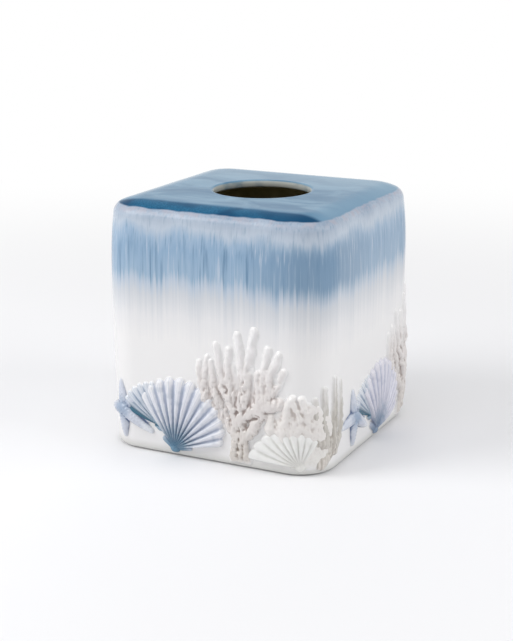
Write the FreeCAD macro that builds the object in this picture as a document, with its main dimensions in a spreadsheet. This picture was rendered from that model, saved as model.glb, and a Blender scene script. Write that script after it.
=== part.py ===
"""Tissue box cover with coastal relief.

An open-bottomed ceramic shell with a round pull-out opening stands on four
non-slip pads.  Three groups of sprigs (moulded ornaments luted to the wall)
run round it.  The frame has its origin at the bottom centre, +Z up and the
front wall towards -Y.  All lengths are in millimetres.
"""
import FreeCAD
import Part
import Sketcher
import math
import os

SIZES = {
    # Shell
    "belly_width": 144.0,
    "belly_height": 109.0,
    "foot_setback": 2.0,
    "shoulder_setback": 3.2,
    "cover_height": 148.4,
    "corner_radius": 24.0,
    "top_edge_radius": 7.5,
    "foot_edge_radius": 4.0,
    "wall_thickness": 7.0,
    "foot_wall_thickness": 8.5,
    "top_thickness": 6.0,
    "ceiling_radius": 4.0,
    "opening_diameter": 57.0,
    "lip_radius": 2.5,
    # Non-slip pads
    "pad_length": 16.0,
    "pad_width": 3.2,
    "pad_thickness": 1.0,
    # Slip between a sprig and the wall, thicker under the stiffer starfish
    "slip_thickness": 0.08,
    "starfish_slip_thickness": 0.45,
    # Starfish: height of its middle, reach of an arm and relief in the middle
    "starfish_rise": 22.0,
    "starfish_reach": 19.0,
    "starfish_relief": 4.6,
    # Fluted scallop and the one behind it
    "scallop_rise": 5.0,
    "scallop_radius": 44.0,
    "scallop_relief": 5.4,
    "under_scallop_rise": 8.0,
    "under_scallop_radius": 37.0,
    "under_scallop_relief": 3.6,
    # Low white scallop beside the corner
    "white_scallop_rise": 4.0,
    "white_scallop_radius": 30.0,
    "white_scallop_relief": 5.0,
    # Corals: overall width and height, radius of the trunk
    "tall_coral_width": 56.0,
    "tall_coral_height": 83.0,
    "tall_coral_radius": 5.0,
    "low_coral_width": 18.0,
    "low_coral_height": 50.0,
    "low_coral_radius": 4.6,
    "tube_coral_width": 18.0,
    "tube_coral_height": 60.0,
    "tube_coral_radius": 4.3,
}

# Place of each sprig group round the cover, as a share of the way round
GROUP_SHARES = {"front": 0.0, "right": 0.31, "back": 0.62}
# Place of each sprig from the middle of its group, as a share of the way round
PLACE_SHARES = {
    "starfish": -0.1028,
    "under_scallop": -0.0617,
    "scallop": -0.0355,
    "tall_coral": 0.0393,
    "white_scallop": 0.1066,
    "low_coral": 0.1085,
    "tube_coral": 0.1459,
}

# Starfish: arm count and turn, and the place and lift of its valleys and tips
# as shares of the reach and of the lift in the middle
ARM_COUNT = 5
ARM_RINGS = 5
ARM_TURN_DEGREES = -100.0
VALLEY_REACH_SHARE = 0.36
VALLEY_LIFT_SHARE = 0.4
TIP_LIFT_SHARE = 0.3

# Scallops: rib count, middle of the fan and half its spread in degrees
SCALLOP_FAN = (12, 80.0, 61.0)
UNDER_SCALLOP_FAN = (9, 118.0, 46.0)
WHITE_SCALLOP_FAN = (9, 117.0, 46.0)
# Length of the ribs beside the middle one: the share lost at the ends of the fan
FAN_DROP_SHARE = 0.33
FAN_DROP_POWER = 2.4
# Along a rib, from the hinge to the margin: place, lift of the crest and lift of
# the groove beside it, as shares of the rib's length and of the scallop's relief
RIB_SHARES = (
    (0.07, 0.62, 0.56),
    (0.30, 0.98, 0.82),
    (0.62, 1.00, 0.62),
    (0.88, 0.80, 0.30),
    (1.00, 0.45, 0.08),
)
GROOVE_LENGTH_SHARE = 0.955

# How far an axis is sunk below the wall's surface, as a share of its radius
SINK_SHARE = 0.22

# Corals: each finger's root and tip (along, up) and its two radii, as shares of
# the coral's width, height and trunk radius
TALL_CORAL_SHARES = (
    (0.00, 0.085, 0.01, 0.29, 1.00, 0.92),
    (0.01, 0.29, 0.07, 0.75, 0.89, 0.62),
    (0.07, 0.75, 0.00, 0.945, 0.58, 0.46),
    (0.07, 0.75, 0.17, 0.97, 0.56, 0.46),
    (0.00, 0.27, -0.21, 0.56, 0.84, 0.64),
    (-0.16, 0.51, -0.11, 0.82, 0.60, 0.46),
    (-0.21, 0.56, -0.245, 0.83, 0.60, 0.44),
    (-0.21, 0.56, -0.32, 0.725, 0.56, 0.44),
    (-0.21, 0.54, -0.43, 0.71, 0.52, 0.40),
    (0.02, 0.31, 0.30, 0.63, 0.84, 0.60),
    (0.30, 0.63, 0.33, 0.875, 0.56, 0.44),
    (0.30, 0.63, 0.465, 0.825, 0.53, 0.42),
    (0.30, 0.61, 0.525, 0.705, 0.52, 0.42),
    (0.16, 0.51, 0.20, 0.675, 0.48, 0.40),
    (0.09, 0.36, 0.55, 0.525, 0.64, 0.56),
)
LOW_CORAL_SHARES = (
    (0.00, 0.52, -0.25, 0.88, 1.00, 0.56),
    (0.05, 0.52, 0.08, 0.87, 0.94, 0.60),
    (0.15, 0.50, 0.34, 0.91, 1.00, 0.60),
    (-0.05, 0.44, 0.20, 0.60, 1.00, 0.90),
)
TUBE_CORAL_SHARES = (
    (-0.39, 0.40, -0.46, 0.84, 1.00, 0.72),
    (-0.06, 0.27, -0.14, 0.895, 1.00, 0.76),
    (0.36, 0.28, 0.33, 0.865, 1.00, 0.74),
    (-0.20, 0.22, 0.20, 0.22, 1.00, 0.90),
)
# Sides of a finger, and the rings of its round ends: place and radius as shares
# of the radius there
FINGER_SIDES = 10
DOME_SHARES = ((0.0, 1.0), (0.5, 0.86), (0.86, 0.5), (0.98, 0.2))
# A finger is bent once for each of these turns of the wall that it passes
BEND_DEGREES = 32.0
JOINT_SHARE = 0.96
# Slab that cuts a coral flush: rows of facets, and a facet's width as a share of
# the corner radius
SLAB_ROWS = 4
FACET_SHARE = 0.16

# Closest distance that counts as touching, as a share of the belly width
SLACK_SHARE = 1e-5

FULL_TURN = 360.0
QUARTER_TURN = 90.0
SIDE_COUNT = 4


def make_sheet(doc):
    """Add the sheet that holds the driving dimensions and return it."""
    sheet = doc.addObject("Spreadsheet::Sheet", "Sizes")
    for row, (alias, value) in enumerate(SIZES.items(), start=1):
        sheet.set("A%d" % row, alias)
        sheet.set("B%d" % row, str(value))
        sheet.setAlias("B%d" % row, alias)
    doc.recompute()
    return sheet


class Wall:
    """Outer wall of the shell, for placing sprigs on it by along, up and lift."""

    def __init__(self, sheet):
        self.belly_half = sheet.belly_width / 2
        self.foot_setback = sheet.foot_setback
        self.shoulder_setback = sheet.shoulder_setback
        self.belly_height = sheet.belly_height
        self.foot_level = sheet.pad_thickness
        self.top_level = sheet.cover_height
        self.corner_radius = sheet.corner_radius
        self.straight_half = self.belly_half - self.corner_radius
        self.corner_run = self.corner_radius * math.pi / 2
        self.side_run = 2 * self.straight_half + self.corner_run
        self.lap = SIDE_COUNT * self.side_run

    def half_width(self, up):
        """Return the half width of the wall at a height."""
        if up < self.belly_height:
            drop = self.foot_setback
            rise = self.belly_height - self.foot_level
        else:
            drop = self.shoulder_setback
            rise = self.top_level - self.belly_height
        radius = (rise * rise + drop * drop) / (2 * drop)
        return self.belly_half - radius + math.sqrt(radius * radius - (up - self.belly_height) ** 2)

    def turn(self, along):
        """Return the wall's heading there in radians, zero on the front."""
        run = along + self.straight_half
        side = math.floor(run / self.side_run)
        past = run - side * self.side_run - 2 * self.straight_half
        corner = max(past, 0) / self.corner_radius
        return side * math.pi / 2 + corner

    def point(self, along, up, lift):
        """Return the point at a distance along the wall, a height and a lift."""
        run = along + self.straight_half
        side = math.floor(run / self.side_run)
        past = run - side * self.side_run - 2 * self.straight_half
        reach = self.half_width(up) - self.straight_half + lift
        corner = max(past, 0) / self.corner_radius
        east = self.straight_half + min(past, 0) + reach * math.sin(corner)
        south = self.straight_half + reach * math.cos(corner)
        point = FreeCAD.Vector(east, -south, up)
        return FreeCAD.Rotation(FreeCAD.Vector(0, 0, 1), side * QUARTER_TURN).multVec(point)


def section_sketch(body, name, half_widths, levels, inner):
    """Sketch half of a bulging block's section in the body's XZ plane.

    half_widths and levels are expressions for the foot, belly and top; inner is
    the expression of the section's inner edge, or None for the middle plane.
    """
    sketch = body.newObject("Sketcher::SketchObject", name)
    plane = [item for item in body.Origin.OriginFeatures if item.Role == "XZ_Plane"][0]
    sketch.AttachmentSupport = [(plane, "")]
    sketch.MapMode = "FlatFace"
    straight = "Sizes.belly_width / 2 - Sizes.corner_radius"
    sketch.setExpression(".AttachmentOffset.Base.z", "-(%s)" % straight)
    widths = [sketch.evalExpression(text) for text in half_widths]
    heights = [0 if text is None else sketch.evalExpression(text) for text in levels]
    inside = 0 if inner is None else sketch.evalExpression(inner)
    foot, belly, top = [FreeCAD.Vector(x, y, 0) for x, y in zip(widths, heights)]
    inner_foot = FreeCAD.Vector(inside, foot.y, 0)
    inner_top = FreeCAD.Vector(inside, top.y, 0)

    def bulge(end, first, last):
        """Return the arc between two points that is upright at the belly."""
        drop = belly.x - end.x
        rise = belly.y - end.y
        radius = (drop * drop + rise * rise) / (2 * drop)
        centre = FreeCAD.Vector(belly.x - radius, belly.y, 0)
        circle = Part.Circle(centre, FreeCAD.Vector(0, 0, 1), radius)
        start_angle = math.atan2(first.y - centre.y, first.x - centre.x)
        end_angle = math.atan2(last.y - centre.y, last.x - centre.x)
        return Part.ArcOfCircle(circle, start_angle, end_angle)

    base = sketch.addGeometry(Part.LineSegment(inner_foot, foot))
    lower = sketch.addGeometry(bulge(foot, foot, belly))
    upper = sketch.addGeometry(bulge(top, belly, top))
    lid = sketch.addGeometry(Part.LineSegment(top, inner_top))
    back = sketch.addGeometry(Part.LineSegment(inner_top, inner_foot))
    chain = ((base, lower), (lower, upper), (upper, lid), (lid, back), (back, base))
    for first, second in chain:
        sketch.addConstraint(Sketcher.Constraint("Coincident", first, 2, second, 1))
    sketch.addConstraint(Sketcher.Constraint("Horizontal", base))
    sketch.addConstraint(Sketcher.Constraint("Horizontal", lid))
    sketch.addConstraint(Sketcher.Constraint("Vertical", back))
    sketch.addConstraint(Sketcher.Constraint("Horizontal", lower, 3, lower, 2))
    sketch.addConstraint(Sketcher.Constraint("Horizontal", upper, 3, upper, 1))
    ends = ((lower, 1, 0), (lower, 2, 1), (upper, 2, 2))
    for geometry, vertex, index in ends:
        across = Sketcher.Constraint("DistanceX", -1, 1, geometry, vertex, widths[index])
        number = sketch.addConstraint(across)
        sketch.setExpression("Constraints[%d]" % number, half_widths[index])
        if levels[index] is None:
            sketch.addConstraint(Sketcher.Constraint("PointOnObject", geometry, vertex, -1))
            continue
        upward = Sketcher.Constraint("DistanceY", -1, 1, geometry, vertex, heights[index])
        number = sketch.addConstraint(upward)
        sketch.setExpression("Constraints[%d]" % number, levels[index])
    if inner is None:
        sketch.addConstraint(Sketcher.Constraint("PointOnObject", back, 1, -2))
    else:
        across = Sketcher.Constraint("DistanceX", -1, 1, back, 1, inside)
        number = sketch.addConstraint(across)
        sketch.setExpression("Constraints[%d]" % number, inner)
    return sketch


def bulging_block(doc, name, half_widths, levels):
    """Build a solid square block with round corners and bulging sides."""
    body = doc.addObject("PartDesign::Body", name)
    straight = "Sizes.belly_width / 2 - Sizes.corner_radius"
    panel_sketch = section_sketch(body, name + "_panel_section", half_widths, levels, None)
    panel = body.newObject("PartDesign::Pad", name + "_panel")
    panel.Profile = panel_sketch
    panel.setExpression("Length", "2 * (%s)" % straight)
    corner_sketch = section_sketch(body, name + "_corner_section", half_widths, levels, straight)
    doc.recompute()
    corner = body.newObject("PartDesign::Revolution", name + "_corner")
    corner.Profile = corner_sketch
    pivot = corner_sketch.Geometry[4]
    axis = corner_sketch.addGeometry(Part.LineSegment(pivot.EndPoint, pivot.StartPoint), True)
    corner_sketch.addConstraint(Sketcher.Constraint("Coincident", axis, 1, 4, 2))
    corner_sketch.addConstraint(Sketcher.Constraint("Coincident", axis, 2, 4, 1))
    corner.ReferenceAxis = (corner_sketch, ["Axis0"])
    corner.Angle = QUARTER_TURN
    doc.recompute()
    pattern = body.newObject("PartDesign::PolarPattern", name + "_sides")
    pattern.Originals = [panel, corner]
    upright = [item for item in body.Origin.OriginFeatures if item.Role == "Z_Axis"][0]
    pattern.Axis = (upright, [""])
    pattern.Angle = FULL_TURN
    pattern.Occurrences = SIDE_COUNT
    body.Tip = pattern
    doc.recompute()
    return body


def rim_edges(shape, level, reach):
    """Return the names of the edges at a height that lie outside a reach."""
    slack = shape.BoundBox.XLength * SLACK_SHARE
    names = []
    for number, edge in enumerate(shape.Edges, start=1):
        box = edge.BoundBox
        flat = abs(box.ZMin - level) < slack and abs(box.ZMax - level) < slack
        middle = edge.valueAt((edge.FirstParameter + edge.LastParameter) / 2)
        if flat and max(abs(middle.x), abs(middle.y)) > reach:
            names.append("Edge%d" % number)
    return names


def round_edges(doc, body, name, level, reach, radius):
    """Fillet the edges at a height outside a reach with a sheet radius."""
    tip = body.Tip
    fillet = body.newObject("PartDesign::Fillet", name)
    fillet.Base = (tip, rim_edges(tip.Shape, level, reach))
    fillet.setExpression("Radius", "Sizes." + radius)
    body.Tip = fillet
    doc.recompute()
    return fillet


def make_shell(doc, sheet):
    """Build the shell, an outer block less a core, and return it."""
    half_widths = (
        "Sizes.belly_width / 2 - Sizes.foot_setback",
        "Sizes.belly_width / 2",
        "Sizes.belly_width / 2 - Sizes.shoulder_setback",
    )
    levels = ("Sizes.pad_thickness", "Sizes.belly_height", "Sizes.cover_height")
    block = bulging_block(doc, "outer_block", half_widths, levels)
    inside = sheet.opening_diameter / 2
    round_edges(doc, block, "top_rounding", sheet.cover_height, inside, "top_edge_radius")
    round_edges(doc, block, "foot_rounding", sheet.pad_thickness, inside, "foot_edge_radius")

    opening_sketch = block.newObject("Sketcher::SketchObject", "opening_circle")
    ground = [item for item in block.Origin.OriginFeatures if item.Role == "XY_Plane"][0]
    opening_sketch.AttachmentSupport = [(ground, "")]
    opening_sketch.MapMode = "FlatFace"
    opening_sketch.setExpression(".AttachmentOffset.Base.z", "Sizes.cover_height")
    circle = Part.Circle(FreeCAD.Vector(), FreeCAD.Vector(0, 0, 1), inside)
    ring = opening_sketch.addGeometry(circle)
    opening_sketch.addConstraint(Sketcher.Constraint("Coincident", ring, 3, -1, 1))
    number = opening_sketch.addConstraint(Sketcher.Constraint("Diameter", ring, 2 * inside))
    opening_sketch.setExpression("Constraints[%d]" % number, "Sizes.opening_diameter")
    opening = block.newObject("PartDesign::Pocket", "opening")
    opening.Profile = opening_sketch
    opening.Type = "ThroughAll"
    block.Tip = opening
    doc.recompute()
    lip = block.newObject("PartDesign::Fillet", "lip_rounding")
    lip.Base = (opening, lip_edges(opening.Shape, sheet.cover_height, inside))
    lip.setExpression("Radius", "Sizes.lip_radius")
    block.Tip = lip
    doc.recompute()

    core_widths = (
        "Sizes.belly_width / 2 - Sizes.foot_setback - Sizes.foot_wall_thickness",
        "Sizes.belly_width / 2 - Sizes.wall_thickness",
        "Sizes.belly_width / 2 - Sizes.shoulder_setback - Sizes.wall_thickness",
    )
    core_levels = (None, "Sizes.belly_height", "Sizes.cover_height - Sizes.top_thickness")
    core = bulging_block(doc, "cavity_core", core_widths, core_levels)
    ceiling = sheet.cover_height - sheet.top_thickness
    round_edges(doc, core, "ceiling_rounding", ceiling, inside, "ceiling_radius")

    shell = doc.addObject("Part::Cut", "cover_shell")
    shell.Base = block
    shell.Tool = core
    shell.Label = "cover_shell"
    doc.recompute()
    return shell


def lip_edges(shape, level, radius):
    """Return the names of the opening's edges at a height."""
    slack = shape.BoundBox.XLength * SLACK_SHARE
    names = []
    for number, edge in enumerate(shape.Edges, start=1):
        round_edge = isinstance(edge.Curve, Part.Circle)
        if round_edge and abs(edge.Curve.Radius - radius) < slack and abs(edge.BoundBox.ZMin - level) < slack:
            names.append("Edge%d" % number)
    return names


def make_pads(doc):
    """Build the four pads under the front and back rims and return them."""
    pads = []
    sides = {"left": -1, "right": 1}
    for face, depth in (("front", -1), ("back", 1)):
        for side, way in sides.items():
            name = "%s_%s_pad" % (face, side)
            pad = doc.addObject("Part::Box", name)
            pad.Label = name
            pad.setExpression("Length", "Sizes.pad_length")
            pad.setExpression("Width", "Sizes.pad_width")
            pad.setExpression("Height", "Sizes.pad_thickness")
            middle = "Sizes.belly_width / 2 - Sizes.corner_radius - Sizes.pad_length / 2"
            rim = (
                "Sizes.belly_width / 2 - Sizes.foot_setback"
                " - (Sizes.foot_wall_thickness + Sizes.foot_edge_radius) / 2"
            )
            pad.setExpression("Placement.Base.x", "%d * (%s) - Sizes.pad_length / 2" % (way, middle))
            pad.setExpression("Placement.Base.y", "%d * (%s) - Sizes.pad_width / 2" % (depth, rim))
            pads.append(pad)
    doc.recompute()
    return pads


def closed_solid(faces):
    """Return the solid that a closed set of facets bounds."""
    shell = Part.makeShell(faces)
    shell.sewShape()
    solid = Part.makeSolid(shell)
    if solid.Volume < 0:
        solid.reverse()
    return solid


def finger(start, end, start_radius, end_radius):
    """Return a faceted, tapered finger with round ends between two points."""
    length = (end - start).Length
    place = FreeCAD.Placement(start, FreeCAD.Rotation(FreeCAD.Vector(0, 0, 1), end - start))
    levels = [(-way * start_radius, wide * start_radius) for way, wide in reversed(DOME_SHARES)]
    levels += [(length + way * end_radius, wide * end_radius) for way, wide in DOME_SHARES]
    rings = []
    for level, radius in levels:
        ring = []
        for number in range(FINGER_SIDES):
            angle = math.radians(FULL_TURN * number / FINGER_SIDES)
            spoke = FreeCAD.Vector(radius * math.cos(angle), radius * math.sin(angle), level)
            ring.append(place.multVec(spoke))
        rings.append(ring)
    outlines = [rings[0], rings[-1]]
    for lower, upper in zip(rings, rings[1:]):
        for number in range(FINGER_SIDES):
            after = (number + 1) % FINGER_SIDES
            outlines.append([lower[number], lower[after], upper[after], upper[number]])
    return closed_solid([Part.Face(Part.makePolygon(outline + outline[:1])) for outline in outlines])


def wall_fingers(wall, start, end, radii):
    """Return the finger between two places on the wall, bent round its corners."""
    turn = abs(wall.turn(end[0]) - wall.turn(start[0]))
    count = 1 + int(math.degrees(turn) / BEND_DEGREES)
    stations = []
    for step in range(count + 1):
        share = step / count
        radius = radii[0] + (radii[1] - radii[0]) * share
        along = start[0] + (end[0] - start[0]) * share
        up = start[1] + (end[1] - start[1]) * share
        stations.append((wall.point(along, up, -radius * SINK_SHARE), radius))
    pieces = []
    for number, (first, last) in enumerate(zip(stations, stations[1:])):
        root_share = JOINT_SHARE if number else 1
        pieces.append(finger(first[0], last[0], first[1] * root_share, last[1]))
    return pieces


def facet_solid(top, bottom, ring):
    """Return the solid between two grids of points with the same rows.

    With ring set, the first row is one point and each row ends where it starts.
    """
    faces = []

    def strip(first, second):
        """Add the facets between two rows of points."""
        for number in range(len(first) - 1):
            corners = (first[number], first[number + 1], second[number + 1], second[number])
            for chosen in ((0, 1, 2), (0, 2, 3)):
                outline = [corners[index] for index in chosen]
                if outline[0] != outline[1]:
                    faces.append(Part.Face(Part.makePolygon(outline + outline[:1])))

    for first, second in zip(top, top[1:]):
        strip(first, second)
    for first, second in zip(bottom, bottom[1:]):
        strip(first, second)
    strip(top[-1], bottom[-1])
    if not ring:
        strip(bottom[0], top[0])
        strip([row[0] for row in top], [row[0] for row in bottom])
        strip([row[-1] for row in bottom], [row[-1] for row in top])
    return closed_solid(faces)


def starfish_solid(wall, sheet, along):
    """Return a starfish with ridged arms on its bed of slip."""
    top = []
    bottom = []
    for ring in range(ARM_RINGS + 1):
        way = ring / ARM_RINGS
        upper = []
        lower = []
        for number in range(2 * ARM_COUNT):
            angle = math.radians(ARM_TURN_DEGREES + FULL_TURN * number / (2 * ARM_COUNT))
            tip = number % 2 == 0
            reach = sheet.starfish_reach * way * (1 if tip else VALLEY_REACH_SHARE)
            drop = 1 - (TIP_LIFT_SHARE if tip else VALLEY_LIFT_SHARE)
            lift = sheet.starfish_relief * (1 - drop * way)
            place = (along + reach * math.cos(angle), sheet.starfish_rise + reach * math.sin(angle))
            upper.append(wall.point(*place, lift))
            lower.append(wall.point(*place, sheet.starfish_slip_thickness))
        top.append(upper + upper[:1])
        bottom.append(lower + lower[:1])
    return facet_solid(top, bottom, True)


def scallop_solid(wall, hinge, size, fan):
    """Return a fluted fan of ribs on its bed of slip.

    size is the fan's radius, its relief and the thickness of the slip.
    """
    radius, relief, slip = size
    count, facing, spread = fan
    top = []
    bottom = []
    for place_share, crest_share, groove_share in RIB_SHARES:
        upper = []
        lower = []
        for number in range(2 * count + 1):
            place = number / count - 1
            angle = math.radians(facing + spread * place)
            crest = number % 2 == 1
            length = radius * (1 - FAN_DROP_SHARE * abs(place) ** FAN_DROP_POWER)
            reach = length * place_share * (1 if crest else GROOVE_LENGTH_SHARE)
            along = hinge[0] + reach * math.cos(angle)
            up = hinge[1] + reach * math.sin(angle)
            upper.append(wall.point(along, up, relief * (crest_share if crest else groove_share)))
            lower.append(wall.point(along, up, slip))
        top.append(upper)
        bottom.append(lower)
    return facet_solid(top, bottom, False)


def wall_slab(wall, first, last, top, size):
    """Return a slab of the wall up to the bed of slip, to cut a coral flush.

    first and last are distances along the wall, top is a height, and size is the
    slab's depth, the thickness of the slip and the width of a facet.
    """
    depth, slip, facet = size
    columns = math.ceil((last - first) / facet)
    alongs = [first + (last - first) * number / columns for number in range(columns + 1)]
    ups = [top * number / SLAB_ROWS for number in range(SLAB_ROWS + 1)]
    outer = [[wall.point(along, up, slip) for along in alongs] for up in ups]
    inner = [[wall.point(along, up, -depth) for along in alongs] for up in ups]
    return facet_solid(outer, inner, False)


def coral_solid(wall, foot, size, shares):
    """Return the fused fingers of a coral, flush with its bed of slip.

    size is the coral's width, height and trunk radius, which the shares follow,
    and the thickness of the slip.
    """
    width, height, radius, slip = size
    fingers = []
    for root_x, root_z, tip_x, tip_z, root_r, tip_r in shares:
        start = (foot + width * root_x, height * root_z)
        end = (foot + width * tip_x, height * tip_z)
        fingers += wall_fingers(wall, start, end, (radius * root_r, radius * tip_r))
    places = [row[0] for row in shares] + [row[2] for row in shares]
    first = foot + width * min(places) - 2 * radius
    last = foot + width * max(places) + 2 * radius
    slab_size = (2 * radius, slip, wall.corner_radius * FACET_SHARE)
    slab = wall_slab(wall, first, last, height + radius, slab_size)
    return fingers[0].multiFuse(fingers[1:]).cut(slab)


def sprig_blanks(wall, sheet, shift):
    """Return every sprig of a group at its full size, those in front first."""
    along = {kind: shift + share * wall.lap for kind, share in PLACE_SHARES.items()}
    hinge = (along["scallop"], sheet.scallop_rise)
    under_hinge = (along["under_scallop"], sheet.under_scallop_rise)
    white_hinge = (along["white_scallop"], sheet.white_scallop_rise)
    slip = sheet.slip_thickness
    front = (sheet.scallop_radius, sheet.scallop_relief, slip)
    under = (sheet.under_scallop_radius, sheet.under_scallop_relief, slip)
    white = (sheet.white_scallop_radius, sheet.white_scallop_relief, slip)
    tall = (sheet.tall_coral_width, sheet.tall_coral_height, sheet.tall_coral_radius, slip)
    low = (sheet.low_coral_width, sheet.low_coral_height, sheet.low_coral_radius, slip)
    tube = (sheet.tube_coral_width, sheet.tube_coral_height, sheet.tube_coral_radius, slip)
    return {
        "starfish": starfish_solid(wall, sheet, along["starfish"]),
        "scallop": scallop_solid(wall, hinge, front, SCALLOP_FAN),
        "under_scallop": scallop_solid(wall, under_hinge, under, UNDER_SCALLOP_FAN),
        "white_scallop": scallop_solid(wall, white_hinge, white, WHITE_SCALLOP_FAN),
        "tall_coral": coral_solid(wall, along["tall_coral"], tall, TALL_CORAL_SHARES),
        "low_coral": coral_solid(wall, along["low_coral"], low, LOW_CORAL_SHARES),
        "tube_coral": coral_solid(wall, along["tube_coral"], tube, TUBE_CORAL_SHARES),
    }


# Sprigs that each sprig gives way to where they meet
GIVES_WAY_TO = {
    "starfish": (),
    "scallop": ("starfish",),
    "under_scallop": ("starfish", "scallop"),
    "white_scallop": (),
    "tall_coral": ("scallop", "white_scallop"),
    "low_coral": ("white_scallop", "tall_coral"),
    "tube_coral": ("white_scallop", "low_coral"),
}


# The last sprig of a group gives way to the first of the next
FIRST_KIND = "starfish"
LAST_KIND = "tube_coral"


def make_sprigs(doc, sheet):
    """Build the sprig groups on the wall and return the sprigs."""
    wall = Wall(sheet)
    sprigs = []
    groups = {name: sprig_blanks(wall, sheet, share * wall.lap) for name, share in GROUP_SHARES.items()}
    order = list(groups)
    for number, group in enumerate(order):
        blanks = groups[group]
        next_group = groups[order[(number + 1) % len(order)]]
        for kind, blank in blanks.items():
            name = "%s_%s" % (group, kind)
            tools = [blanks[other] for other in GIVES_WAY_TO[kind]]
            if kind == LAST_KIND:
                tools.append(next_group[FIRST_KIND])
            shape = blank
            for tool in tools:
                shape = shape.cut(tool)
            sprig = doc.addObject("Part::Feature", name)
            sprig.Label = name
            sprig.Shape = max(shape.Solids, key=lambda solid: solid.Volume)
            sprig.Placement = FreeCAD.Placement()
            sprigs.append(sprig)
    doc.recompute()
    return sprigs


def check(doc, pieces):
    """Stop with a message where an object failed or a piece is no sound solid."""
    for item in doc.Objects:
        if "Invalid" in item.State or "Error" in item.State:
            raise RuntimeError("%s failed: %s" % (item.Name, item.State))
    for piece in pieces:
        shape = piece.Shape
        if shape.isNull() or not shape.isValid() or not shape.Solids:
            raise RuntimeError("%s has no valid solid" % piece.Label)


def main():
    """Build the cover and write one file for each piece."""
    doc = FreeCAD.newDocument("tissue_box_cover")
    sheet = make_sheet(doc)
    shell = make_shell(doc, sheet)
    pieces = [shell] + make_pads(doc) + make_sprigs(doc, sheet)
    check(doc, pieces)
    os.makedirs("parts", exist_ok=True)
    for piece in pieces:
        piece.Shape.exportStep(os.path.join("parts", piece.Label + ".step"))
        box = piece.Shape.BoundBox
        print("%-24s solids %d volume %.0f box %.1f %.1f %.1f" % (
            piece.Label, len(piece.Shape.Solids), piece.Shape.Volume, box.XLength, box.YLength, box.ZLength))


main()
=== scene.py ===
"""Looks of a glazed ceramic tissue box cover with moulded seaside relief.

The body is a square shell under a running blue glaze. Three equal groups of moulded
sprigs (starfish, scallops and corals) are luted to its wall and washed with colour.
Lengths are in metres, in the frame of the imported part: front is -Y, up is +Z.
"""

import functools
import logging
import math
from dataclasses import dataclass, field, replace
from enum import Enum
from typing import Iterable, Protocol, Sequence

import bmesh
import bpy
import numpy as np
from bpy.types import Material, Mesh, Node, NodeSocket, NodeTree, Object
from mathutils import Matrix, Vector


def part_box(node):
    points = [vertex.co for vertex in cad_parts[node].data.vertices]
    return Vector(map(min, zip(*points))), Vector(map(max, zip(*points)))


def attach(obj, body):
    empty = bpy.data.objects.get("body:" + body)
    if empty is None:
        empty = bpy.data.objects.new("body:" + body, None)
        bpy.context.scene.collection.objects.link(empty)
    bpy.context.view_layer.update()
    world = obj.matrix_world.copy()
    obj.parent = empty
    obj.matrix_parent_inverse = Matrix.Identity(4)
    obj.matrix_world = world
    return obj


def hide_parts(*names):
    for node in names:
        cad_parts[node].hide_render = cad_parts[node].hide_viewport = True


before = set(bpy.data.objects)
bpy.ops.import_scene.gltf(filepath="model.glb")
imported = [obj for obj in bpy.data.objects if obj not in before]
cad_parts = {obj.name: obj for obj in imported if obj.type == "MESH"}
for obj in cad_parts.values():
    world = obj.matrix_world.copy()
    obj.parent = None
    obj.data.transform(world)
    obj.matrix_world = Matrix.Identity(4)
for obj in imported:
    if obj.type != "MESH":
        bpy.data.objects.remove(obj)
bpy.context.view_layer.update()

LOG = logging.getLogger("tissue_box_cover")
MM = 0.001

Colour = tuple[float, float, float, float]
Station = tuple[float, float, float, float]
Triple = tuple[float, float, float]
Span = tuple[float, float]
Value = NodeSocket | float
Paint = NodeSocket | Colour


def tint(red: int, green: int, blue: int) -> Colour:
    """Turn a screen colour into the linear one that a shader takes.

    Args:
        red: Red share, 0 to 255.
        green: Green share, 0 to 255.
        blue: Blue share, 0 to 255.

    Returns:
        The linear colour with full opacity.
    """
    shares = [channel / 255 for channel in (red, green, blue)]
    linear = [c / 12.92 if c <= 0.04045 else ((c + 0.055) / 1.055) ** 2.4 for c in shares]
    return (linear[0], linear[1], linear[2], 1.0)


class Group(Enum):
    """The three places round the wall where the relief repeats, as shares of a lap."""

    FRONT = 0.0
    RIGHT = 0.31
    BACK = 0.62


class Slot(Enum):
    """Material slots of the part's record."""

    DRIP_GLAZE = "drip_glaze"
    SCALLOP = "scallop_relief"
    BLUE = "blue_relief"
    WHITE = "white_relief"
    CORAL = "coral_relief"
    PAD = "pad"


# Shared shapes


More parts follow.
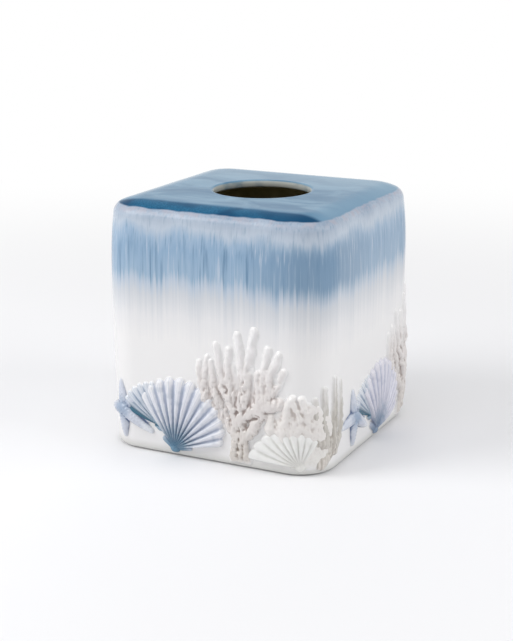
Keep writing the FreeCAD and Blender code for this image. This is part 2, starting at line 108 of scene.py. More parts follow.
@dataclass(frozen=True)
class Wall:
    """The outer wall: a rounded square that swells to a belly above its middle."""

    belly_half: float = 72.0 * MM
    belly_height: float = 109.0 * MM
    foot_setback: float = 2.0 * MM
    shoulder_setback: float = 3.2 * MM
    foot: float = 1.0 * MM
    height: float = 148.4 * MM
    corner_radius: float = 24.0 * MM

    @property
    def straight(self) -> float:
        """Half the straight run of one side."""
        return self.belly_half - self.corner_radius

    @property
    def side_run(self) -> float:
        """One straight run and one corner, measured round the belly."""
        return 2 * self.straight + self.corner_radius * math.pi / 2

    @property
    def lap(self) -> float:
        """The whole way round the belly."""
        return 4 * self.side_run

    def half_widths(self, up: np.ndarray) -> np.ndarray:
        """Give the half width of the wall at some heights.

        Args:
            up: Heights above the ground.

        Returns:
            The half width at each height.
        """
        above = up >= self.belly_height
        rise = np.where(above, self.height - self.belly_height, self.belly_height - self.foot)
        drop = np.where(above, self.shoulder_setback, self.foot_setback)
        radius = (rise**2 + drop**2) / (2 * drop)
        return self.belly_half - radius + np.sqrt(radius**2 - (up - self.belly_height) ** 2)

    def half_at(self, up: float) -> float:
        """Give the half width of the wall at one height."""
        return float(self.half_widths(np.array(up)))

    def plan(self, along: np.ndarray, reach: np.ndarray) -> np.ndarray:
        """Place points of a section seen from above.

        Args:
            along: Distances round the belly from the middle of the front.
            reach: Distances out of the straight core of the section.

        Returns:
            The (x, y) pairs.
        """
        run = along + self.straight
        side = np.floor(run / self.side_run)
        past = run - side * self.side_run - 2 * self.straight
        corner = np.maximum(past, 0) / self.corner_radius
        east = self.straight + np.minimum(past, 0) + reach * np.sin(corner)
        south = self.straight + reach * np.cos(corner)
        turn = side * math.pi / 2
        x = east * np.cos(turn) + south * np.sin(turn)
        y = east * np.sin(turn) - south * np.cos(turn)
        return np.stack([x, y], axis=1)

    def lay(self, flat: np.ndarray) -> np.ndarray:
        """Lay flat relief on the wall.

        Args:
            flat: Points as (along, up, lift) rows.

        Returns:
            The points in the part's frame.
        """
        along, up, lift = flat.T
        reach = self.half_widths(up) - self.straight + lift
        return np.column_stack([self.plan(along, reach), up])


WALL = Wall()


# Modelling helpers


def deselect() -> None:
    """Leave edit mode and deselect every object."""
    if bpy.context.object and bpy.context.object.mode != "OBJECT":
        bpy.ops.object.mode_set(mode="OBJECT")
    bpy.ops.object.select_all(action="DESELECT")


def activate(piece: Object) -> None:
    """Select one object alone and make it active.

    Args:
        piece: The object to select.
    """
    deselect()
    piece.select_set(True)
    bpy.context.view_layer.objects.active = piece


def edit_all(piece: Object) -> None:
    """Open an object in edit mode with its whole mesh selected.

    Args:
        piece: The object to open.
    """
    activate(piece)
    bpy.ops.object.mode_set(mode="EDIT")
    bpy.ops.mesh.select_all(action="SELECT")


def turn_normals_out() -> None:
    """Turn all faces of the mesh in edit mode outwards and leave edit mode."""
    bpy.ops.mesh.select_all(action="SELECT")
    bpy.ops.mesh.normals_make_consistent(inside=False)
    bpy.ops.object.mode_set(mode="OBJECT")


def modify(piece: Object, kind: str, **settings: object) -> None:
    """Add a modifier to an object and apply it.

    Args:
        piece: The object to change.
        kind: Blender's name of the modifier type.
        **settings: Values of the modifier.
    """
    activate(piece)
    modifier = piece.modifiers.new(kind.lower(), kind)
    for name, value in settings.items():
        setattr(modifier, name, value)
    bpy.ops.object.modifier_apply(modifier=modifier.name)


def points_of(mesh: Mesh) -> np.ndarray:
    """Give the places of a mesh's vertices.

    Args:
        mesh: The mesh to read.

    Returns:
        Rows of three numbers.
    """
    flat = np.empty(len(mesh.vertices) * 3)
    mesh.vertices.foreach_get("co", flat)
    return flat.reshape(-1, 3)


def keep_attribute(mesh: Mesh, name: str, values: np.ndarray) -> None:
    """Store one number per vertex for a material to read.

    Args:
        mesh: The mesh that keeps the numbers.
        name: Name of the attribute.
        values: One number for each vertex.
    """
    layer = mesh.attributes.new(name, "FLOAT", "POINT")
    layer.data.foreach_set("value", values.astype(np.float32))


# Fields of heights, in millimetres


def ease(value: np.ndarray, start: float, end: float) -> np.ndarray:
    """Rise smoothly from 0 at one value to 1 at another.

    Args:
        value: The values to read.
        start: Where the rise starts.
        end: Where it ends.

    Returns:
        The shares, from 0 to 1.
    """
    share = np.clip((value - start) / (end - start), 0, 1)
    return share * share * (3 - 2 * share)


def square_round(middle: Span, half: float) -> Station:
    """Give the left, low, right and high end of a square round a point."""
    x, y = middle
    return x - half, y - half, x + half, y + half


def curve_through(knots: Sequence[Station], steps: int = 5) -> list[np.ndarray]:
    """Give evenly shared points of a smooth line through some knots.

    Args:
        knots: Places with a crest and a half width, as (across, up, crest, half).
        steps: Number of points from one knot to the next.

    Returns:
        The points, each with its crest and half width.
    """
    rows = np.array([knots[0], *knots, knots[-1]], float)
    line = []
    for before, here, after, later in zip(rows, rows[1:], rows[2:], rows[3:]):
        slope = after - before
        bend = 2 * before - 5 * here + 4 * after - later
        twist = 3 * here - before - 3 * after + later
        for t in (step / steps for step in range(steps)):
            line.append(0.5 * (2 * here + slope * t + bend * t**2 + twist * t**3))
    return [*line, rows[-1]]


def limb(
    across: np.ndarray, up: np.ndarray, knots: Sequence[Station], power: float | np.ndarray = 0.65
) -> np.ndarray:
    """Give the height of one rounded limb that follows a line.

    Args:
        across: Places across the ornament.
        up: Places above the ground.
        knots: Places of the line with the crest's height and the half width.
        power: Shape of the section: 0.5 is half round, more melts into the wall.

    Returns:
        The height at each place.
    """
    height = np.zeros_like(across)
    line = curve_through(knots)
    for (x, y, crest, half), (x2, y2, crest2, half2) in zip(line, line[1:]):
        run, rise = x2 - x, y2 - y
        share = np.clip(((across - x) * run + (up - y) * rise) / (run**2 + rise**2), 0, 1)
        gap = np.hypot(across - x - share * run, up - y - share * rise)
        gap /= half + share * (half2 - half)
        section = np.clip(1 - gap**2, 0, 1) ** power
        height = np.maximum(height, (crest + share * (crest2 - crest)) * section)
    return height


@dataclass(frozen=True)
class Clouds:
    """Random clouds of heights; squeeze below 1 draws them out upwards, draw is added to the seed."""

    size: float
    depth: float = 1.0
    squeeze: float = 1.0
    draw: int = 0
    cells: int = 96

    def heights(self, across: np.ndarray, up: np.ndarray, seed: int) -> np.ndarray:
        """Give the clouds' heights.

        Args:
            across: Places across the ornament.
            up: Places above the ground.
            seed: Seed of the ornament's random numbers.

        Returns:
            The height at each place, up to the clouds' depth either way.
        """
        generator = np.random.default_rng(seed + self.draw)
        lattice = generator.uniform(-1, 1, (self.cells, self.cells))
        x, y = across / self.size, up * self.squeeze / self.size
        column, row = np.floor(x).astype(int), np.floor(y).astype(int)
        right, above = ease(x - column, 0, 1), ease(y - row, 0, 1)
        low, high = (
            lattice[(row + step) % self.cells, column % self.cells] * (1 - right)
            + lattice[(row + step) % self.cells, (column + 1) % self.cells] * right
            for step in (0, 1)
        )
        return self.depth * (low * (1 - above) + high * above)


# Shader nodes


@dataclass(frozen=True)
class Grain:
    """An even pattern of clouds: number to a metre, stretch along the axes, octaves and stir."""

    scale: float
    stretch: Triple = (1, 1, 1)
    detail: float = 2.0
    warp: float = 0.0


class NodeGraph:
    """A tree of shader nodes, added one at a time."""

    def __init__(self, tree: NodeTree) -> None:
        """Keep the tree that the nodes are added to."""
        self.tree = tree

    def feed(self, socket: NodeSocket, value: Value | Paint | Triple) -> None:
        """Link a socket to another one, or set its number or colour.

        Args:
            socket: The socket to feed.
            value: A socket, a number, a place or a colour.
        """
        if isinstance(value, NodeSocket):
            self.tree.links.new(value, socket)
        else:
            socket.default_value = value

    def node(self, kind: str, inputs: dict[str | int, object], **settings: object) -> Node:
        """Add a node.

        Args:
            kind: Blender's name of the node type.
            inputs: What its sockets are fed with, by name or number.
            **settings: Properties of the node.

        Returns:
            The node.
        """
        made = self.tree.nodes.new(kind)
        for name, value in settings.items():
            setattr(made, name, value)
        for key, value in inputs.items():
            self.feed(made.inputs[key], value)
        return made

    def place(self, stretch: Triple = (1, 1, 1)) -> NodeSocket:
        """Give the place on the piece, stretched along its axes."""
        coords = self.node("ShaderNodeTexCoord", {}).outputs["Object"]
        return self.node("ShaderNodeMapping", {"Vector": coords, "Scale": stretch}).outputs["Vector"]

    def axes(self) -> tuple[NodeSocket, ...]:
        """Give the place on the piece as its x, y and z."""
        return tuple(self.node("ShaderNodeSeparateXYZ", {0: self.place()}).outputs)

    def attribute(self, name: str) -> NodeSocket:
        """Give a number that the piece keeps for each of its vertices."""
        return self.node("ShaderNodeAttribute", {}, attribute_name=name).outputs["Fac"]

    def noise(self, grain: Grain) -> NodeSocket:
        """Add a pattern of clouds.

        Args:
            grain: The pattern.

        Returns:
            Its value, from 0 to 1.
        """
        inputs = {"Scale": grain.scale, "Detail": grain.detail, "Distortion": grain.warp}
        inputs["Vector"] = self.place(grain.stretch)
        return self.node("ShaderNodeTexNoise", inputs).outputs["Fac"]

    def sway(self, grain: Grain, depth: float) -> NodeSocket:
        """Add clouds that swing round 0, by half a depth either way."""
        return self.times(self.maths("SUBTRACT", self.noise(grain), 0.5), depth)

    def spots(self, grain: Grain, span: Span) -> NodeSocket:
        """Add clouds that rise from 0 to 1 where their value crosses a span."""
        return self.step(self.noise(grain), span)

    def maths(self, operation: str, first: Value, second: Value = 0.0) -> NodeSocket:
        """Combine two values by the operation of Blender's that is named."""
        return self.node("ShaderNodeMath", {0: first, 1: second}, operation=operation).outputs[0]

    def times(self, first: Value, second: Value) -> NodeSocket:
        """Multiply two values."""
        return self.maths("MULTIPLY", first, second)

    def plus(self, first: Value, second: Value) -> NodeSocket:
        """Add two values."""
        return self.maths("ADD", first, second)

    def slide(self, value: Value, span: Span, levels: Span, course: str = "LINEAR") -> NodeSocket:
        """Pass from one level to another while a value crosses a span.

        Args:
            value: The value to read.
            span: Where the change starts and ends, in rising order.
            levels: The level at either end.
            course: Blender's name of the way between them.

        Returns:
            The level.
        """
        inputs = {"Value": value, "From Min": span[0], "From Max": span[1]}
        inputs |= {"To Min": levels[0], "To Max": levels[1]}
        return self.node("ShaderNodeMapRange", inputs, interpolation_type=course).outputs["Result"]

    def step(self, value: Value, span: Span) -> NodeSocket:
        """Rise smoothly from 0 at the first value of a span to 1 at the second, which may be less."""
        levels = (0.0, 1.0) if span[0] < span[1] else (1.0, 0.0)
        return self.slide(value, (min(span), max(span)), levels, "SMOOTHSTEP")

    def ramp(self, value: NodeSocket, stops: Iterable[tuple[float, Colour]]) -> NodeSocket:
        """Turn a value into a colour.

        Args:
            value: The value, from 0 to 1.
            stops: Colours at rising values.

        Returns:
            The colour.
        """
        made = self.node("ShaderNodeValToRGB", {"Fac": value})
        elements = made.color_ramp.elements
        stops = list(stops)
        while len(elements) < len(stops):
            elements.new(0.5)
        for element, (position, colour) in zip(elements, stops):
            element.position = position
            element.color = colour
        return made.outputs["Color"]

    def mix(self, share: Value, under: Paint, over: Paint) -> NodeSocket:
        """Lay one colour over another by a share."""
        inputs = {"Factor": share, 6: under, 7: over}
        return self.node("ShaderNodeMix", inputs, data_type="RGBA").outputs[2]


class Surface(NodeGraph):
    """The nodes of one glossy material."""

    def __init__(self, name: str) -> None:
        """Start a material that has its shader alone.

        Args:
            name: Name of the material.
        """
        self.material = bpy.data.materials.new(name)
        self.material.use_nodes = True
        super().__init__(self.material.node_tree)
        self.shader = self.tree.nodes["Principled BSDF"]

    def finish(self, colour: Paint, roughness: float, relief: NodeSocket, depth: float) -> Material:
        """Join the colour and the fine relief to the shader.

        Args:
            colour: The surface colour.
            roughness: Roughness of the surface.
            relief: Height of the fine relief, in shares of its depth.
            depth: Depth of the fine relief.

        Returns:
            The material.
        """
        bump = self.node("ShaderNodeBump", {"Strength": 1.0, "Distance": depth, "Height": relief})
        self.feed(self.shader.inputs["Base Color"], colour)
        self.feed(self.shader.inputs["Roughness"], roughness)
        self.feed(self.shader.inputs["Normal"], bump.outputs["Normal"])
        return self.material


# Finishes


class Finish(Protocol):
    """What every finish can do."""

    def material(self) -> Material:
        """Make the finish's nodes."""


@dataclass(frozen=True)
class TopGlaze:
    """Clouded blue glaze of the flat top, with a deeper blue band along its front edge: partly
    gathered glaze, partly painted shade.
    """

    deep: Colour = tint(56, 106, 140)
    pale: Colour = tint(108, 146, 172)
    clouds: Grain = Grain(30, (1.0, 1.9, 1.0), 5.0, 0.8)
    cloud_span: Span = (0.32, 0.70)
    rim: Colour = tint(110, 145, 171)
    rim_span: Span = (44 * MM, 68 * MM)
    # Paler blue towards the back of the top: a painted reflection of the bright backdrop.
    back: Colour = tint(146, 172, 190)
    back_reflection_span: Span = (-6 * MM, 66 * MM)
    back_share: float = 0.5
    # Deeper blue band along the front edge: partly gathered glaze, partly painted shade where the
    # rounded edge reflects nothing bright.
    pool_and_shade: Colour = tint(10, 66, 102)
    pool_and_shade_span: Span = (-50.4 * MM, -54.4 * MM)
    pool_and_shade_wave: Grain = Grain(22, (1, 0.02, 0.02), 3.0)
    pool_and_shade_wave_depth: float = 9 * MM
    fleck: Colour = tint(46, 112, 148)
    flecks: Grain = Grain(1300, detail=4.0)
    fleck_span: Span = (0.10, 0.86)
    patches: Grain = Grain(60)
    patch_span: Span = (0.30, 0.62)
    patch_end: Span = (62 * MM, 10 * MM)

    def colour(self, graph: Surface, x: NodeSocket, y: NodeSocket) -> NodeSocket:
        """Colour the top.

        Args:
            graph: The material's nodes.
            x: Place across the top.
            y: Place along the top, negative at the front.

        Returns:
            The colour.
        """
        top = graph.mix(graph.spots(self.clouds, self.cloud_span), self.deep, self.pale)
        side = graph.maths("MAXIMUM", graph.maths("ABSOLUTE", x), graph.maths("ABSOLUTE", y))
        top = graph.mix(graph.step(side, self.rim_span), top, self.rim)
        # Painted reflection: the top turns paler towards the back.
        back = graph.times(graph.step(y, self.back_reflection_span), self.back_share)
        top = graph.mix(back, top, self.back)
        patch = graph.times(
            graph.spots(self.patches, self.patch_span), graph.step(x, self.patch_end)
        )
        fleck = graph.times(graph.spots(self.flecks, self.fleck_span), patch)
        # Painted shade, with gathered glaze, in a wavy band along the front edge.
        wave = graph.times(graph.noise(self.pool_and_shade_wave), self.pool_and_shade_wave_depth)
        pooled_and_shaded = graph.step(graph.plus(y, wave), self.pool_and_shade_span)
        return graph.mix(pooled_and_shaded, top, graph.mix(fleck, self.pool_and_shade, self.fleck))


@dataclass(frozen=True)
class DripGlaze:
    """Blue glaze that has run down from the shoulder in fine streaks."""

    name: str = "drip_glaze"
    bands: tuple[tuple[float, Colour], ...] = (
        (70 * MM, tint(236, 235, 235)),
        (84 * MM, tint(227, 227, 229)),
        (97 * MM, tint(204, 208, 214)),
        (105 * MM, tint(184, 197, 212)),
        (110 * MM, tint(151, 177, 201)),
        (124 * MM, tint(139, 168, 196)),
        (130 * MM, tint(152, 177, 202)),
        (136 * MM, tint(184, 196, 210)),
        (140 * MM, tint(176, 188, 203)),
        (148.4 * MM, tint(138, 156, 178)),
    )
    fine_runs: Grain = Grain(760, (1, 1, 0.016))
    fine_run_length: float = 16 * MM
    broad_runs: Grain = Grain(120, (1, 1, 0.03))
    broad_run_length: float = 14 * MM
    calm_span: Span = (116 * MM, 138 * MM)
    calm_share: float = 0.35
    drifts: Grain = Grain(38, (1, 1, 0.5), 3.0)
    drift_length: float = 16 * MM
    drift_span: Span = (118 * MM, 138 * MM)
    blue_foot: Span = (98 * MM, 112 * MM)
    blue_head: Span = (138 * MM, 126 * MM)
    corner: Colour = tint(96, 130, 160)
    corner_span: Span = (84 * MM, 126 * MM)
    corner_share: float = 0.6
    flank_span: Span = (62 * MM, 71 * MM)
    flank_front: Span = (10 * MM, -45 * MM)
    flank_share: float = 0.35
    flank_front_share: float = 0.75
    threads: Grain = Grain(900, (1, 1, 0.014), 3.0)
    deep_thread: Colour = tint(104, 138, 168)
    deep_span: Span = (0.50, 0.78)
    pale_thread: Colour = tint(198, 207, 219)
    pale_span: Span = (0.46, 0.10)
    upper_span: Span = (120 * MM, 130 * MM)
    upper_share: float = 0.45
    foot: Colour = tint(208, 208, 204)
    foot_span: Span = (7 * MM, 2 * MM)
    foot_share: float = 0.8
    top: TopGlaze = TopGlaze()
    edge_wave: Grain = Grain(110, detail=1.0)
    edge_wave_height: float = 1.2 * MM
    edge_span: Span = (145.2 * MM, 146.0 * MM)
    break_line: Colour = tint(178, 172, 182)
    break_foot: Span = (141.4 * MM, 144.4 * MM)
    break_head: Span = (146.0 * MM, 145.0 * MM)
    break_flecks: Grain = Grain(240, detail=3.0)
    break_fleck_span: Span = (0.40, 0.66)
    break_share: float = 0.55
    lip: Colour = tint(164, 167, 162)
    lip_deep: Colour = tint(118, 134, 140)
    lip_clouds: Grain = Grain(90, detail=4.0)
    lip_cloud_span: Span = (0.34, 0.62)
    lip_span: Span = (29.9 * MM, 28.9 * MM)
    ripples: Grain = Grain(90, detail=1.0)
    thread_relief: float = 0.4
    relief_depth: float = 0.05 * MM
    roughness: float = 0.13
    shine: float = 0.5
    top_shine: float = 0.045
    shine_span: Span = (134 * MM, 145 * MM)

    def material(self) -> Material:
        """Make the glaze's nodes.

        Returns:
            The material.
        """
        graph = Surface(self.name)
        x, y, up = graph.axes()
        threads = graph.noise(self.threads)
        walls = self._walls(graph, x, y, up, threads)
        wave = graph.times(graph.noise(self.edge_wave), self.edge_wave_height)
        edge = graph.plus(up, wave)
        colour = graph.mix(graph.step(edge, self.edge_span), walls, self.top.colour(graph, x, y))
        broken = graph.times(graph.step(edge, self.break_foot), graph.step(edge, self.break_head))
        fleck = graph.times(graph.spots(self.break_flecks, self.break_fleck_span), self.break_share)
        colour = graph.mix(graph.times(broken, fleck), colour, self.break_line)
        radius = graph.maths("SQRT", graph.plus(graph.times(x, x), graph.times(y, y)))
        lip = graph.mix(graph.spots(self.lip_clouds, self.lip_cloud_span), self.lip_deep, self.lip)
        colour = graph.mix(graph.step(radius, self.lip_span), colour, lip)
        shine = graph.slide(up, self.shine_span, (self.shine, self.top_shine))
        graph.feed(graph.shader.inputs["Specular IOR Level"], shine)
        relief = graph.plus(graph.times(threads, self.thread_relief), graph.noise(self.ripples))
        return graph.finish(colour, self.roughness, relief, self.relief_depth)

    def _level(self, graph: Surface, up: NodeSocket) -> NodeSocket:
        """Give the height that the walls' colour is read at, which wavers along the runs.

        Args:
            graph: The material's nodes.
            up: Height above the ground.

        Returns:
            The wavering height.
        """
        fine = graph.sway(self.fine_runs, self.fine_run_length)
        broad = graph.sway(self.broad_runs, self.broad_run_length)
        calm = graph.slide(up, self.calm_span, (1.0, self.calm_share))
        level = graph.plus(up, graph.times(graph.plus(fine, broad), calm))
        drift = graph.sway(self.drifts, self.drift_length)
        return graph.plus(level, graph.times(drift, graph.step(up, self.drift_span)))

    def _deepened(self, graph: Surface, x: NodeSocket, y: NodeSocket) -> NodeSocket:
        """Give the share by which the blue is deeper at two corners and on the side walls.

        Args:
            graph: The material's nodes.
            x: Place across the cover.
            y: Place along the cover, negative at the front.

        Returns:
            The share.
        """
        corner = graph.maths("ABSOLUTE", graph.maths("SUBTRACT", x, y))
        front = graph.times(graph.step(y, self.flank_front), self.flank_front_share)
        flank = graph.step(graph.maths("ABSOLUTE", x), self.flank_span)
        flank = graph.times(flank, graph.plus(front, self.flank_share))
        deep = graph.maths("MAXIMUM", graph.step(corner, self.corner_span), flank)
        return graph.times(deep, self.corner_share)

    def _walls(
        self, graph: Surface, x: NodeSocket, y: NodeSocket, up: NodeSocket, threads: NodeSocket
    ) -> NodeSocket:
        """Colour the walls in bands, with streaks in the blue and a greyer band at the foot.

        Args:
            graph: The material's nodes.
            x: Place across the cover.
            y: Place along the cover.
            up: Height above the ground.
            threads: Pattern of the fine streaks.

        Returns:
            The colour.
        """
        level = self._level(graph, up)
        low, high = self.bands[0][0], self.bands[-1][0]
        share = graph.maths("DIVIDE", graph.maths("SUBTRACT", level, low), high - low)
        walls = graph.ramp(share, [((z - low) / (high - low), c) for z, c in self.bands])
        blue = graph.times(graph.step(level, self.blue_foot), graph.step(level, self.blue_head))
        walls = graph.mix(graph.times(blue, self._deepened(graph, x, y)), walls, self.corner)
        upper = graph.times(graph.step(level, self.upper_span), self.upper_share)
        streaked = graph.maths("MAXIMUM", blue, upper)
        deep = graph.times(streaked, graph.step(threads, self.deep_span))
        walls = graph.mix(deep, walls, self.deep_thread)
        pale = graph.times(streaked, graph.step(threads, self.pale_span))
        walls = graph.mix(pale, walls, self.pale_thread)
        # Greyer towards the foot.
        greyed_foot = graph.times(graph.step(up, self.foot_span), self.foot_share)
        return graph.mix(greyed_foot, walls, self.foot)


@dataclass(frozen=True)
class SprigGlaze:
    """Clear glaze over a wash of colour that lies in the hollows of the relief."""

    name: str
    crest: Colour
    crest_root: Colour
    tip: Colour
    hollow: Colour
    root: Colour
    root_start: float = 0.05
    root_end: float = 0.5
    tip_start: float = 0.7
    hollow_span: Span = (-0.1, 0.45)
    wash_end: Span = (1.0, 0.8)
    bare: Colour = tint(236, 235, 235)
    bare_lift: Span = (0.25, 0.9)
    grain: Grain = Grain(300, detail=4.0)
    unrest: float = 0.5
    reach_unrest: float = 0.4
    striae: float = 0.0
    striae_detail: float = 2.0
    striae_span: Span = (0.50, 0.60)
    striae_share: float = 0.45
    striae_relief: float = -2.5
    roughness: float = 0.2
    bump: float = 0.08 * MM
    flank: Colour = tint(202, 192, 214)
    flank_span: Span = (56 * MM, 70 * MM)
    flank_share: float = 0.0

    def material(self) -> Material:
        """Make the glaze's nodes.

        Returns:
            The material.
        """
        graph = Surface(self.name)
        relief = cloud = graph.noise(self.grain)
        stir = graph.times(graph.maths("SUBTRACT", cloud, 0.5), self.unrest)
        depth = graph.plus(graph.attribute("hollow"), stir)
        reach = graph.plus(graph.attribute("reach"), graph.times(stir, self.reach_unrest))
        rooted = graph.step(reach, (self.root_end, self.root_start))
        crest = graph.mix(graph.step(reach, (self.tip_start, 1.0)), self.crest, self.tip)
        crest = graph.mix(rooted, crest, self.crest_root)
        low = graph.mix(rooted, self.hollow, self.root)
        wash = graph.times(graph.step(depth, self.hollow_span), graph.step(reach, self.wash_end))
        colour = graph.mix(wash, crest, low)
        if self.striae:
            inputs = {"Scale": self.striae, "Detail": self.striae_detail, "W": graph.attribute("fan")}
            line = graph.node("ShaderNodeTexNoise", inputs, noise_dimensions="1D").outputs["Fac"]
            drawn = graph.times(graph.step(line, self.striae_span), self.striae_share)
            colour = graph.mix(drawn, colour, low)
            relief = graph.plus(cloud, graph.times(line, self.striae_relief))
        colour = graph.mix(graph.attribute("shade"), colour, self.root)
        if self.flank_share:
            aside = graph.times(graph.step(graph.axes()[0], self.flank_span), self.flank_share)
            colour = graph.mix(aside, colour, self.flank)
        colour = graph.mix(graph.step(graph.attribute("lift"), self.bare_lift), self.bare, colour)
        return graph.finish(colour, self.roughness, relief, self.bump)


@dataclass(frozen=True)
class PlainFinish:
    """One dull colour with a fine grain, for what lies out of sight."""

    name: str
    dark: Colour
    pale: Colour
    grain: Grain
    roughness: float
    grain_span: Span = (0.35, 0.65)
    depth: float = 0.1 * MM

    def material(self) -> Material:
        """Make the finish's nodes.

        Returns:
            The material.
        """
        graph = Surface(self.name)
        cloud = graph.noise(self.grain)
        colour = graph.mix(graph.step(cloud, self.grain_span), self.dark, self.pale)
        return graph.finish(colour, self.roughness, cloud, self.depth)


SCALLOP_GLAZE = SprigGlaze(
    name="scallop_glaze",
    crest=tint(227, 229, 236),
    crest_root=tint(108, 148, 174),
    tip=tint(235, 235, 238),
    hollow=tint(176, 184, 203),
    root=tint(36, 94, 134),
    root_end=0.52,
    unrest=0.9,
    hollow_span=(-0.25, 0.5),
    wash_end=(1.05, 0.88),
    striae=70.0,
    flank_share=0.25,
)
BLUE_GLAZE = SprigGlaze(
    name="blue_glaze",
    crest=tint(208, 214, 224),
    crest_root=tint(160, 184, 204),
    tip=tint(228, 231, 236),
    hollow=tint(146, 162, 184),
    root=tint(44, 98, 122),
    striae=50.0,
)
STAR_GLAZE = SprigGlaze(
    name="star_glaze",
    crest=tint(203, 208, 220),
    crest_root=tint(150, 167, 190),
    tip=tint(224, 227, 233),
    hollow=tint(92, 110, 144),
    root=tint(70, 94, 130),
    hollow_span=(-0.1, 0.5),
    wash_end=(1.2, 0.9),
    unrest=0.9,
    bare_lift=(0.15, 0.6),
)
WHITE_GLAZE = SprigGlaze(
    name="white_glaze",
    crest=tint(232, 232, 230),
    crest_root=tint(226, 225, 221),
    tip=tint(235, 235, 234),
    hollow=tint(206, 206, 202),
    root=tint(208, 206, 200),
)
CORAL_GRAIN = Grain(460, detail=4.0)
CORAL_GLAZE = SprigGlaze(
    name="coral_glaze",
    crest=tint(223, 218, 216),
    crest_root=tint(216, 210, 204),
    tip=tint(236, 235, 236),
    hollow=tint(166, 154, 150),
    root=tint(146, 134, 122),
    root_end=0.45,
    tip_start=0.5,
    hollow_span=(-0.15, 0.6),
    wash_end=(0.9, 0.5),
    bare_lift=(0.4, 1.5),
    grain=CORAL_GRAIN,
    bump=0.3 * MM,
)
TUBE_GLAZE = replace(
    CORAL_GLAZE, name="tube_glaze", crest=tint(198, 194, 188), hollow=tint(168, 162, 154),
    tip_start=0.55, wash_end=(1.0, 0.65), bare_lift=(0.1, 1.4), striae=0.5,
)
PALE_CORAL_GLAZE = SprigGlaze(
    name="pale_coral_glaze",
    crest=tint(228, 224, 221),
    crest_root=tint(229, 227, 223),
    tip=tint(234, 233, 233),
    hollow=tint(190, 180, 175),
    root=tint(192, 184, 175),
    tip_start=0.6,
    hollow_span=(-0.05, 0.6),
    wash_end=(1.0, 0.7),
    bare_lift=(0.4, 1.5),
    grain=CORAL_GRAIN,
    bump=0.25 * MM,
)
INSIDE_FINISH = PlainFinish(
    "bare_inside", tint(158, 148, 106), tint(176, 166, 126), Grain(60, detail=5.0), 0.8
)
PAD_FINISH = PlainFinish(
    "soft_pad", tint(196, 194, 188), tint(214, 212, 206), Grain(900, detail=5.0), 0.7
)


@functools.cache
def material_of(finish: Finish) -> Material:
    """Give a finish's material, which is made once."""
    return finish.material()


def dress(piece: Object, node: str, finish: Finish) -> None:
    """Give a finished piece its material and its body, and hide the part's node that it replaces.

    Args:
        piece: The finished piece.
        node: The part's node that it replaces.
        finish: The finish of its surface.
    """
    piece.data.materials.append(material_of(finish))
    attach(piece, "root")
    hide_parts(node)
    LOG.info("%s: %d faces", piece.name, len(piece.data.polygons))


# The body


@dataclass(frozen=True)
class Ring:
    """One level of the shell: a rounded square that turns into a circle by a share."""

    half: float
    up: float
    circle: float = 0.0
    roundness: float = 0.0


def quarter(steps: int) -> np.ndarray:
    """Give the angles of a quarter turn in equal steps."""
    return np.linspace(0, math.pi / 2, steps + 1)


